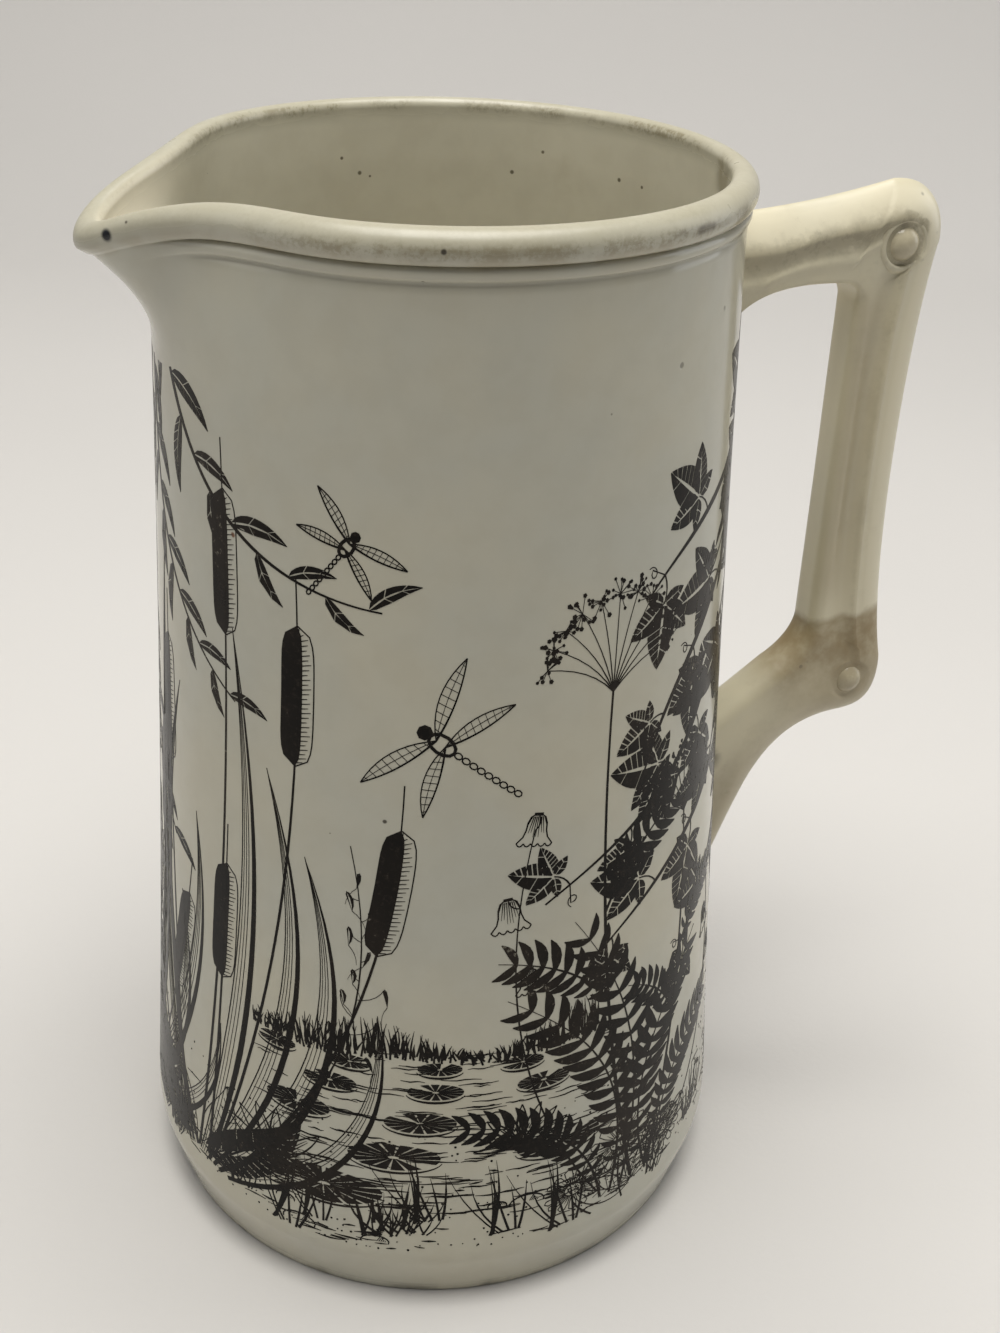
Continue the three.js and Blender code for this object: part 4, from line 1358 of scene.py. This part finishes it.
def oat(plate, root, top, sag, rng, grains=11):
    """A nodding stalk with long-bearded grains hanging from hair-thin branches."""
    stem = bow(root, top, sag, 22)
    plate.line(stem, 0.4, 0.3, 0.15)
    for i in range(grains):
        origin, heading = along(stem, 0.45 + 0.53 * i / grains)
        side = 1 if i % 2 else -1
        aim = heading + side * rng.uniform(0.5, 0.9)
        joint = polar(origin, aim, rng.uniform(3.5, 7.0) * (1.2 - i / grains))
        plate.line(bow(origin, joint, side * 0.15, 5), 0.10)
        droop = -math.pi / 2 + rng.uniform(-0.4, 0.4)
        tip = polar(joint, droop, rng.uniform(3.0, 4.2))
        dark_leaf(plate, joint, tip, 0.06 * side, 1.25, veins=1, gap=0.05)
        plate.line(bow(tip, polar(tip, droop + side * 0.35, 4.0), 0.1 * side, 4), 0.10, 0.08, 0.05)


def harebell(plate, root, top, sag, rng, bells=4):
    """A wiry stem with hanging bells, hatched from their shoulders down."""
    stem = bow(root, top, sag, 22)
    plate.line(stem, 0.36, 0.28, 0.18)
    for i in range(bells):
        origin, heading = along(stem, 1 - 0.17 * i)
        side = 1 if i % 2 else -1
        hang = polar(origin, heading + side * 0.9 if i else heading, 3.0)
        plate.line(bow(origin, hang, side * 0.2, 5), 0.2)
        size = rng.uniform(5.2, 6.6) * (1 - 0.07 * i)
        tilt = rng.uniform(-0.35, 0.35)
        shape = [(0.10, 0.0), (0.24, 0.10), (0.31, 0.30), (0.33, 0.55), (0.40, 0.78), (0.58, 1.0)]
        for hand in (1, -1):
            path = [turned((hand * w * size, -h * size), tilt, *hang) for w, h in shape]
            plate.line(path, 0.18, 0.24, 0.2)
        for j in range(5):
            a = turned(((-0.58 + j * 0.232) * size, -size), tilt, *hang)
            b = turned(((-0.58 + (j + 1) * 0.232) * size, -size), tilt, *hang)
            plate.line(bow(a, b, -0.45, 4), 0.2)
        for j in range(-4, 5):
            deep = 0.85 - 0.08 * abs(j) + 0.1 * (j % 2)
            top_at = turned((j * 0.05 * size, -0.08 * size), tilt, *hang)
            low_at = turned((j * 0.085 * size, -deep * size * 0.9), tilt, *hang)
            plate.line([top_at, midway(top_at, low_at), low_at], 0.17, 0.12, 0.06)
        plate.line([polar(hang, tilt, 0.8), polar(hang, tilt + math.pi, 0.8)], 0.5)


def daisy(plate, x, y, size, tilt, rng, petals=15, squash=0.8):
    """An open daisy: long outlined petals round a dotted eye."""
    for k in range(petals):
        a = 2 * math.pi * (k + rng.uniform(-0.15, 0.15)) / petals
        reach = size * rng.uniform(0.92, 1.05)
        half = math.pi / petals * 0.92
        shape = [(0.30, -half * 0.6), (0.65, -half * 0.9), (0.92, -half * 0.7), (1.0, 0),
                 (0.92, half * 0.7), (0.65, half * 0.9), (0.30, half * 0.6)]
        path = [turned((r * reach * math.cos(a + b), r * reach * math.sin(a + b) * squash), tilt, x, y)
                for r, b in shape]
        plate.line(path, 0.14, 0.2, 0.14)
        core = [turned((r * reach * math.cos(a), r * reach * math.sin(a) * squash), tilt, x, y)
                for r in (0.34, 0.5, 0.66)]
        plate.line(core, 0.16, 0.12, 0.05)
    plate.ring(x, y, size * 0.28, size * 0.28 * squash, 0.24, tilt)
    for _ in range(26):
        r, a = size * 0.24 * math.sqrt(rng.random()), rng.uniform(0, 2 * math.pi)
        px, py = turned((r * math.cos(a), r * math.sin(a) * squash), tilt, x, y)
        plate.dot(px, py, 0.15, 5)


def dragonfly(plate, x, y, size, heading):
    """A dragonfly from above: jointed body and four netted wings."""
    for i in range(9):
        at = polar((x, y), heading + math.pi, size * (0.16 + 0.075 * i))
        plate.ring(at[0], at[1], size * 0.034, size * 0.026, 0.22, heading, 8)
    plate.ring(x, y, size * 0.12, size * 0.075, 0.5, heading, 12)
    plate.dot(*polar((x, y), heading, size * 0.17), size * 0.065, 8)
    for spread_at, long in ((1.25, 0.72), (1.95, 0.64)):
        for side in (1, -1):
            root = polar((x, y), heading, 0.06 * size if spread_at < 1.5 else -0.03 * size)
            tip = polar(root, heading + side * spread_at, size * long)
            front = bow(root, tip, side * 0.05, 10)
            back = bow(root, tip, -side * 0.13, 10)
            plate.line(front, 0.32, 0.24, 0.2)
            plate.line(back, 0.18)
            for k in range(1, 10):
                a, _ = along(front, k / 10)
                b, _ = along(back, clamp(k / 10 + 0.03))
                plate.line([a, b], 0.09)
            plate.line([midway(a, b) for a, b in zip(front, back)], 0.09)


def lily_pad(plate, x, y, wide, tilt, veins=15):
    """A floating leaf seen at a slant: dark wedges between pale veins, with a notch."""
    for k in range(veins):
        a, b = (tilt + 2 * math.pi * (k + f) / (veins + 1) for f in (0.10, 0.90))
        edge = [(x + wide * math.cos(c), y + wide * 0.36 * math.sin(c)) for c in spread(a, b, 3)]
        hub = [(lerp(x, u, 0.12), lerp(y, v, 0.12)) for u, v in edge]
        plate.strip(hub, edge, across=3)
    low = [(x + wide * 1.05 * math.cos(c), y - 0.5 + wide * 0.38 * math.sin(c)) for c in spread(3.3, 6.1, 14)]
    plate.line(low, 0.12, 0.42, 0.12)


def lily(plate, x, y, size, rng):
    """A water lily from the side: a fan of pointed petals with hatched roots over short outer ones."""
    for count, reach, fan, broad in ((7, 1.0, 1.15, 0.20), (2, 0.95, 1.62, 0.16)):
        for k in range(count):
            aim = math.pi / 2 + fan * (2 * k / (count - 1) - 1)
            tip = polar((x, y), aim, size * reach * rng.uniform(0.94, 1.04))
            for side in (1, -1):
                plate.line(bow((x, y), tip, side * broad / 2, 8), 0.24, 0.34, 0.2)
            for side in (-0.4, 0, 0.4):
                path = bow((x, y), tip, side * broad / 2, 8)
                plate.line(path[3:rng.randint(5, 7)], 0.22, 0.18, 0.06)
    plate.strip([(x - size * 0.45, y + 0.4), (x, y + 0.9), (x + size * 0.45, y + 0.4)],
                [(x - size * 0.35, y - 0.6), (x, y - 1.0), (x + size * 0.35, y - 0.6)], across=2)


def water(plate, rng, left, right, low, high):
    """Still water in level strokes that close up towards the near bank."""
    for _ in range(int((right - left) * 3)):
        t = rng.random() ** 1.25
        x, y = rng.uniform(left, right), lerp(low, high, t)
        reach = rng.uniform(3, 11) * (1 - 0.4 * t)
        path = [(x + reach * u, y + 0.12 * math.sin(9 * u + x)) for u in spread(0, 1, 5)]
        plate.line(path, 0.06, lerp(0.36, 0.2, t), 0.06)
    for _ in range(int((right - left) * 5)):
        x = rng.uniform(left, right)
        y = high + 0.6 * math.sin(x / 5)
        top = (x + rng.uniform(-1.2, 1.2), y + rng.uniform(1.5, 7.5) * (0.6 + 0.4 * math.sin(x / 7)))
        plate.line(bow((x, y - rng.uniform(0, 2)), top, rng.uniform(-0.1, 0.1), 4), 0.34, 0.28, 0.06)


def tussock(rng, count, width, height):
    """A tuft of grass rooted at the origin."""
    plate = Plate()
    for _ in range(count):
        x = rng.uniform(-width / 2, width / 2)
        lean = rng.uniform(-0.45, 0.45)
        tall = height * rng.uniform(0.45, 1.0)
        tip = (x + lean * tall, tall * math.cos(lean))
        path = bow((x, rng.uniform(-0.5, 0.5)), tip, -lean * rng.uniform(0.1, 0.3), 5)
        thick = rng.uniform(0.28, 0.6)
        plate.line(path, thick, thick * 0.8, 0.06)
    return plate


def ground(plate, rng, low, high):
    """Short strokes, pebbles and stipple that tie the plants together along the foot."""
    for _ in range(330):
        x, t = rng.uniform(-HALF_TURN_MM, HALF_TURN_MM), rng.random()
        y = lerp(low, high, t ** 1.4) + 1.5 + 1.5 * math.sin(x / 17)
        reach = rng.uniform(1.5, 6.0)
        plate.line(bow((x, y), (x + reach, y + rng.uniform(-0.4, 0.4)), rng.uniform(-0.05, 0.05), 4),
                   0.08, rng.uniform(0.18, 0.42), 0.08)
    for _ in range(1000):
        x, t = rng.uniform(-HALF_TURN_MM, HALF_TURN_MM), rng.random()
        y = lerp(low, high + 10, t ** 1.6) + 1.5 + 1.5 * math.sin(x / 17)
        plate.dot(x, y, rng.uniform(0.12, 0.26), 5)
    for _ in range(26):
        x, y = rng.uniform(-HALF_TURN_MM, HALF_TURN_MM), rng.uniform(low + 1, high - 3)
        w = rng.uniform(1.6, 3.6)
        path = [turned((w * math.cos(a), w * 0.55 * math.sin(a)), 0, x, y) for a in spread(-0.3, 3.4, 9)]
        plate.line(path, 0.2, 0.3, 0.2)
        for k in range(5):
            h = w * 0.5 * (1 - k / 6)
            plate.line([(x + w * 0.15 + k * 0.35, y + h * 0.1), (x + w * 0.35 + k * 0.25, y + h * 0.8)], 0.12)


def reed_bed(plate, x, rng, tall=1.0, hand=1):
    """Bulrushes with strap leaves, a skirt of dock leaves and a nodding oat."""
    def at(off, height):
        return x + hand * off, height

    for dx, height, lean in ((0, 158, 7), (9, 140, 14), (-9, 126, -5), (18, 108, 24), (-15, 92, -12),
                             (6, 92, 2)):
        bulrush(plate, at(dx * 0.5, PRINT_LOW_MM + 4), at(dx + lean, height * tall), -hand * 0.02 * lean / 6)
    for dx, height, sag, width in ((-4, 112, 0.10, 5.2), (5, 128, -0.06, 5.0), (-12, 82, 0.16, 5.6),
                                   (13, 92, -0.16, 5.6), (20, 64, -0.20, 5.0), (-19, 58, 0.20, 5.0),
                                   (-8, 134, 0.05, 4.4), (9, 106, -0.12, 4.8), (-15, 104, 0.12, 5.4)):
        strap_leaf(plate, at(dx * 0.4, PRINT_LOW_MM + 3), at(dx * 1.9, height * tall), hand * sag, width)
    for aim, size, width in ((2.55, 27, 9), (2.0, 21, 8), (0.7, 30, 10), (1.2, 20, 8)):
        heading = aim if hand > 0 else math.pi - aim
        root = (x + 2 * math.cos(heading), PRINT_LOW_MM + 5)
        leaf = dark_leaf if size > 21 else open_leaf
        leaf(plate, root, polar(root, heading, size), 0.10 * (1 if heading > 1.57 else -1), width)
    oat(plate, at(9, PRINT_LOW_MM + 8), at(33, 96 * tall), -hand * 0.14, rng)


def bank(plate, x, rng, tall=1.0, hand=1):
    """Cow parsley over fern fronds, harebells and daisies."""
    def at(off, height):
        return x + hand * off, height

    umbel(plate, at(0, PRINT_LOW_MM + 4), at(-8, 112 * tall), hand * 0.03, 17, rng)
    umbel(plate, at(4, PRINT_LOW_MM + 4), at(13, 84 * tall), -hand * 0.05, 13, rng)
    for dx, height, sag, width in ((-26, 62, -0.18, 15), (-14, 74, -0.12, 14), (20, 58, 0.18, 15),
                                   (31, 40, 0.22, 13), (-36, 38, -0.22, 12)):
        fern(plate, at(dx * 0.2, PRINT_LOW_MM + 3), at(dx, height * tall), hand * sag, width)
    harebell(plate, at(10, PRINT_LOW_MM + 5), at(27, 66 * tall), -hand * 0.16, rng)
    harebell(plate, at(-8, PRINT_LOW_MM + 5), at(-22, 92 * tall), hand * 0.10, rng, 3)
    for dx, y, size, tilt in ((-3, 29, 7.5, 0.2), (9, 24, 6.6, -0.3), (-13, 23, 6.2, 0.1)):
        plate.line(bow(at(dx * 0.7, PRINT_LOW_MM), at(dx, y - size * 0.5), 0.05, 5), 0.35)
        daisy(plate, x + hand * dx, y, size, tilt, rng)
    for aim, size in ((2.7, 16), (0.5, 17), (2.2, 13), (1.0, 14)):
        root = (x, PRINT_LOW_MM + 3)
        open_leaf(plate, root, polar(root, aim, size), 0.1, 6)


def plate_object(name, plate):
    points = [(x, y, 0.0) for x, y in plate.points]
    return new_object(name, mesh_from(name, points, plate.faces))


def wrap_group():
    """Gives a flat sheet a thickness and lays it round the tapering wall."""
    nodes, value = node_group("Lay on the wall", {
        "Float": "Lift, Sink, Wrap radius, Front angle, Foot radius, Neck radius, Foot height, Neck height, "
                 "Sag"})
    sheet = value["Geometry"]
    raised = nodes.add("GeometryNodeExtrudeMesh", {
        "Mesh": sheet, "Offset": (0, 0, 1), "Offset Scale": value["Lift"] + value["Sink"],
        "Individual": False}, out="Mesh", mode="FACES")
    below = nodes.add("GeometryNodeFlipFaces", {"Mesh": sheet})
    joined = nodes.tree.nodes.new("GeometryNodeJoinGeometry")
    for part in (raised, below):
        nodes.feed(joined.inputs[0], part)
    slab = nodes.add("GeometryNodeMergeByDistance", {"Geometry": joined.outputs[0], "Distance": 5e-7})
    at = nodes.add("ShaderNodeSeparateXYZ", {0: nodes.add("GeometryNodeInputPosition")}, out=None)
    x, z, proud = (nodes.wire(at.outputs[i]) for i in range(3))
    t = (z - value["Foot height"]) / (value["Neck height"] - value["Foot height"])
    radius = value["Foot radius"] + (value["Neck radius"] - value["Foot radius"]) * t
    radius = radius - value["Sag"] * 4.0 * t * (1.0 - t) + proud - value["Sink"]
    turn = x / value["Wrap radius"] + value["Front angle"]
    point = nodes.add("ShaderNodeCombineXYZ", {
        0: radius * nodes.math("COSINE", turn), 1: radius * nodes.math("SINE", turn), 2: z})
    laid = nodes.add("GeometryNodeSetPosition", {"Geometry": slab, "Position": point})
    soft = nodes.add("GeometryNodeSetShadeSmooth", {"Geometry": laid, "Shade Smooth": True})
    corner = nodes.wire(nodes.add("GeometryNodeInputMeshEdgeAngle", out="Unsigned Angle"))
    sharp = nodes.add("FunctionNodeCompare", {"A": corner, "B": SHARP_ANGLE},
                      data_type="FLOAT", operation="GREATER_THAN")
    crisp = nodes.add("GeometryNodeSetShadeSmooth", {
        "Geometry": soft, "Selection": sharp, "Shade Smooth": False}, domain="EDGE")
    nodes.add("NodeGroupOutput", {0: crisp}, out=None)
    nodes.arrange()
    return nodes.tree


def wrapped(nodes, geometry, lift):
    """Adds the wrapping group, set for this wall, to another tree."""
    group = nodes.tree.nodes.new("GeometryNodeGroup")
    group.node_tree = bpy.data.node_groups.get("Lay on the wall") or wrap_group()
    values = {
        "Geometry": geometry, "Lift": lift, "Sink": PRINT_SINK_MM * MM, "Wrap radius": WRAP_MM * MM,
        "Front angle": -math.pi / 2, "Foot radius": BEVEL_MM * MM, "Neck radius": NECK_MM * MM,
        "Foot height": BEVEL_TOP_MM * MM, "Neck height": NECK_TOP_MM * MM, "Sag": SAG_MM * MM}
    for label, value in values.items():
        nodes.feed(group.inputs[label], value)
    return group.outputs[0]


def sheet_tree():
    """Lays one flat engraving on the wall."""
    nodes, value = node_group("Transfer sheet", {"Float": "Lift", "Material": "Material"})
    return finish_group(nodes, wrapped(nodes, value["Geometry"], value["Lift"]), value["Material"])


def tuft_tree():
    """Scatters tufts of grass round the foot and lays them on the wall."""
    nodes, value = node_group("Scattered tufts", {
        "Int": "Count, Seed", "Float": "Low, High, Half turn, Smallest, Lift", "Material": "Material"})
    points = nodes.add("GeometryNodePoints", {"Count": value["Count"]})

    def chance(low, high, seed):
        return nodes.add("FunctionNodeRandomValue", {2: low, 3: high, "Seed": value["Seed"] + seed},
                         out=1, data_type="FLOAT")

    where = nodes.add("ShaderNodeCombineXYZ", {
        0: chance(0.0 - value["Half turn"], value["Half turn"], 0.0),
        1: chance(value["Low"], value["High"], 1.0)})
    strewn = nodes.add("GeometryNodeSetPosition", {"Geometry": points, "Position": where})
    size = nodes.add("ShaderNodeCombineXYZ", {i: chance(value["Smallest"], 1.0, 2.0) for i in range(3)})
    lean = nodes.add("ShaderNodeCombineXYZ", {2: chance(-0.25, 0.25, 3.0)})
    planted = nodes.add("GeometryNodeInstanceOnPoints", {
        "Points": strewn, "Instance": value["Geometry"], "Rotation": lean, "Scale": size})
    real = nodes.add("GeometryNodeRealizeInstances", {0: planted})
    return finish_group(nodes, wrapped(nodes, real, value["Lift"]), value["Material"])


class JUG_OT_transfer(bpy.types.Operator):
    """Lay the brown transfer pattern of waterside plants on the wall"""
    bl_idname = "jug.transfer"
    bl_label = "Transfer pattern"

    def execute(self, context):
        ink = transfer_ink()
        lift = sizes().ink_lift
        rng = random.Random(PRINT_SEED)
        reeds, banks, vines, earth = Plate(), Plate(), Plate(), Plate()
        reed_bed(reeds, -66, rng, 1.04)
        reed_bed(reeds, -96, rng, 0.9, -1)
        reed_bed(reeds, 104, rng, 0.92, -1)
        reed_bed(reeds, -150, rng, 0.7)
        bank(banks, 20, rng, 1.12)
        bank(banks, 142, rng, 0.9, -1)
        bank(banks, -112, rng, 0.8, -1)
        for x, y, reach, drop in ((-86, 178, 30, 58), (-90, 172, 14, 88), (-80, 182, 52, 40),
                                  (60, 176, -22, 40), (120, 172, -20, 60), (128, 168, 14, 74),
                                  (-150, 170, 24, 66)):
            willow(vines, (x, y), reach, drop, rng)
        for x, y, size, heading in ((-18, 120, 21, 2.5), (-34, 152, 14, 0.9), (128, 138, 15, 1.0),
                                    (-112, 128, 15, 2.2)):
            dragonfly(banks, x, y, size, heading)
        for left, right in ((-52, 12), (58, 92), (-148, -92)):
            water(earth, rng, left, right, PRINT_LOW_MM + 8, PRINT_LOW_MM + 44)
            for row, (up, wide) in enumerate(((12, 10.5), (21, 8.0), (29, 6.2), (36, 4.8), (41, 3.8))):
                for k in range(int((right - left) / wide / 3.8)):
                    x = left + wide * (1.4 + 3.8 * k + 1.9 * (row % 2)) + rng.uniform(-1, 1)
                    lily_pad(banks, x, PRINT_LOW_MM + up, wide, rng.uniform(0, 6))
                    if (k + row) % 2 == 0 and row < 2:
                        lily(banks, x - wide * 0.9, PRINT_LOW_MM + up + 1.5, wide * 1.15, rng)
        for start, end, sway, waves in (((66, 160), (16, 104), 4, 1.1), ((66, 138), (4, 88), -4, 1.2),
                                        ((68, 116), (14, 74), 4, 0.8), ((66, 96), (34, 62), 3, 0.8),
                                        ((66, 150), (42, 96), -3, 0.9), ((68, 168), (22, 140), 4, 0.9),
                                        ((150, 150), (118, 96), 4, 1.1), ((-100, 150), (-132, 104), -4, 1.2)):
            ivy_vine(vines, start, end, sway, waves, rng, 13.5)
        ground(earth, rng, PRINT_LOW_MM - 0.8, PRINT_LOW_MM + 17)
        sheets = {"transfer_reeds": reeds, "transfer_bank": banks, "transfer_ivy": vines,
                  "transfer_ground": earth}
        tree = sheet_tree()
        for name, plate in sheets.items():
            piece = plate_object(name, plate)
            apply_group(piece, tree, {"Lift": lift, "Material": ink})
            self.seat(piece)
        tufts = tuft_tree()
        for name, count, height, seed in (("transfer_grass_low", 46, 11, 3),
                                          ("transfer_grass_tall", 13, 24, 8)):
            piece = plate_object(name, tussock(rng, 9, 6.5, height))
            apply_group(piece, tufts, {
                "Count": count, "Seed": seed, "Low": (PRINT_LOW_MM - 0.5) * MM,
                "High": (PRINT_LOW_MM + 9) * MM, "Half turn": HALF_TURN_MM * MM, "Smallest": 0.6,
                "Lift": lift, "Material": ink})
            self.seat(piece)
        return {"FINISHED"}

    @staticmethod
    def seat(piece):
        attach(piece, BODY)


# The studio


def sweep_material():
    """Plain pale paper, a little darker where it rises behind the jug."""
    c = colours()
    nodes = Skin("paper_sweep", c.floor)
    _, _, z = nodes.axes
    soft = nodes.noise(2.2, 2)
    grain = nodes.noise(700, 2)
    nodes.lay(c.backdrop, nodes.ramp(z, -0.05, 0.35))
    nodes.lay([v * 0.9 for v in c.floor], nodes.ramp(soft, 0.3, 0.7) * 0.4)
    return nodes.finish(0.85, grain, 0.05, {"Specular IOR Level": 0.15})


def in_view(across, away, up):
    """The point at these distances across the camera's level view, away from the camera and up."""
    return VIEW_SIDE * across + VIEW_AWAY * away + Vector((0, 0, up))


def area_light(name, spot, width, height, power, tone):
    lamp = bpy.data.lights.new(name, "AREA")
    lamp.shape = "RECTANGLE"
    lamp.size, lamp.size_y = width, height
    lamp.energy = power
    lamp.color = tone
    shown = new_object(name, lamp)
    shown.location = in_view(*spot)
    shown.rotation_euler = (LIT_POINT - in_view(*spot)).to_track_quat("-Z", "Y").to_euler()


class JUG_OT_stage(bpy.types.Operator):
    """Set up the camera, the plain sweep of floor and backdrop, and the soft lights"""
    bl_idname = "jug.stage"
    bl_label = "Stage"

    def execute(self, context):
        scene = context.scene
        eye = bpy.data.cameras.new("photo_camera")
        eye.sensor_width = 36
        eye.lens = CAMERA_LENS
        eye.clip_start, eye.clip_end = 0.01, 20
        camera = new_object("photo_camera", eye)
        rows = [(right, up, -ahead, at)
                for right, up, ahead, at in zip(CAMERA_RIGHT, CAMERA_UP, CAMERA_AHEAD, CAMERA_AT)]
        camera.matrix_world = Matrix((*rows, (0, 0, 0, 1)))
        scene.camera = camera

        bend, top = SWEEP_RUN[-1], SWEEP_RUN[-1] + SWEEP_BEND
        section = [(d, 0.0) for d in SWEEP_RUN]
        section += [(bend + SWEEP_BEND * math.sin(a), SWEEP_BEND - SWEEP_BEND * math.cos(a))
                    for a in spread(0, math.pi / 2, 16)][1:]
        section += [(top, h) for h in SWEEP_RISE]
        points = [[c / MM for c in in_view(w, d, h)] for d, h in section for w in SWEEP_ACROSS]
        mesh = mesh_from("sweep", points, quads(len(section), len(SWEEP_ACROSS)))
        mesh.materials.append(sweep_material())
        mesh.shade_smooth()
        new_object("sweep", mesh)

        for light in LIGHTS:
            area_light(*light)
        world = bpy.data.worlds.new("studio")
        scene.world = world
        world.use_nodes = True
        glow = world.node_tree.nodes["Background"]
        glow.inputs["Color"].default_value = WORLD_TONE
        glow.inputs["Strength"].default_value = WORLD_STRENGTH
        scene.view_settings.view_transform = "Standard"
        return {"FINISHED"}


class JUG_PT_panel(bpy.types.Panel):
    """Sidebar panel with the jug's sizes, colours and steps"""
    bl_idname = "JUG_PT_panel"
    bl_label = "Water pitcher"
    bl_space_type = "VIEW_3D"
    bl_region_type = "UI"
    bl_category = "Pitcher"

    def draw(self, context):
        for group in (context.scene.jug_sizes, context.scene.jug_colours):
            box = self.layout.box()
            for key in group.bl_rna.properties.keys():
                if key not in ("rna_type", "name"):
                    box.prop(group, key)
        for step in STEPS:
            self.layout.operator(step.bl_idname)


STEPS = (JUG_OT_wall, JUG_OT_base, JUG_OT_handle, JUG_OT_bosses, JUG_OT_transfer, JUG_OT_stage)
CLASSES = (JugSizes, JugColours, *STEPS, JUG_PT_panel)


def register():
    for item in CLASSES:
        bpy.utils.register_class(item)
    bpy.types.Scene.jug_sizes = bpy.props.PointerProperty(type=JugSizes)
    bpy.types.Scene.jug_colours = bpy.props.PointerProperty(type=JugColours)


def unregister():
    del bpy.types.Scene.jug_colours
    del bpy.types.Scene.jug_sizes
    for item in reversed(CLASSES):
        bpy.utils.unregister_class(item)


def main():
    register()
    bpy.ops.jug.wall()
    bpy.ops.jug.base()
    bpy.ops.jug.handle()
    bpy.ops.jug.bosses()
    bpy.ops.jug.transfer()
    bpy.ops.jug.stage()


if __name__ == "__main__":
    main()
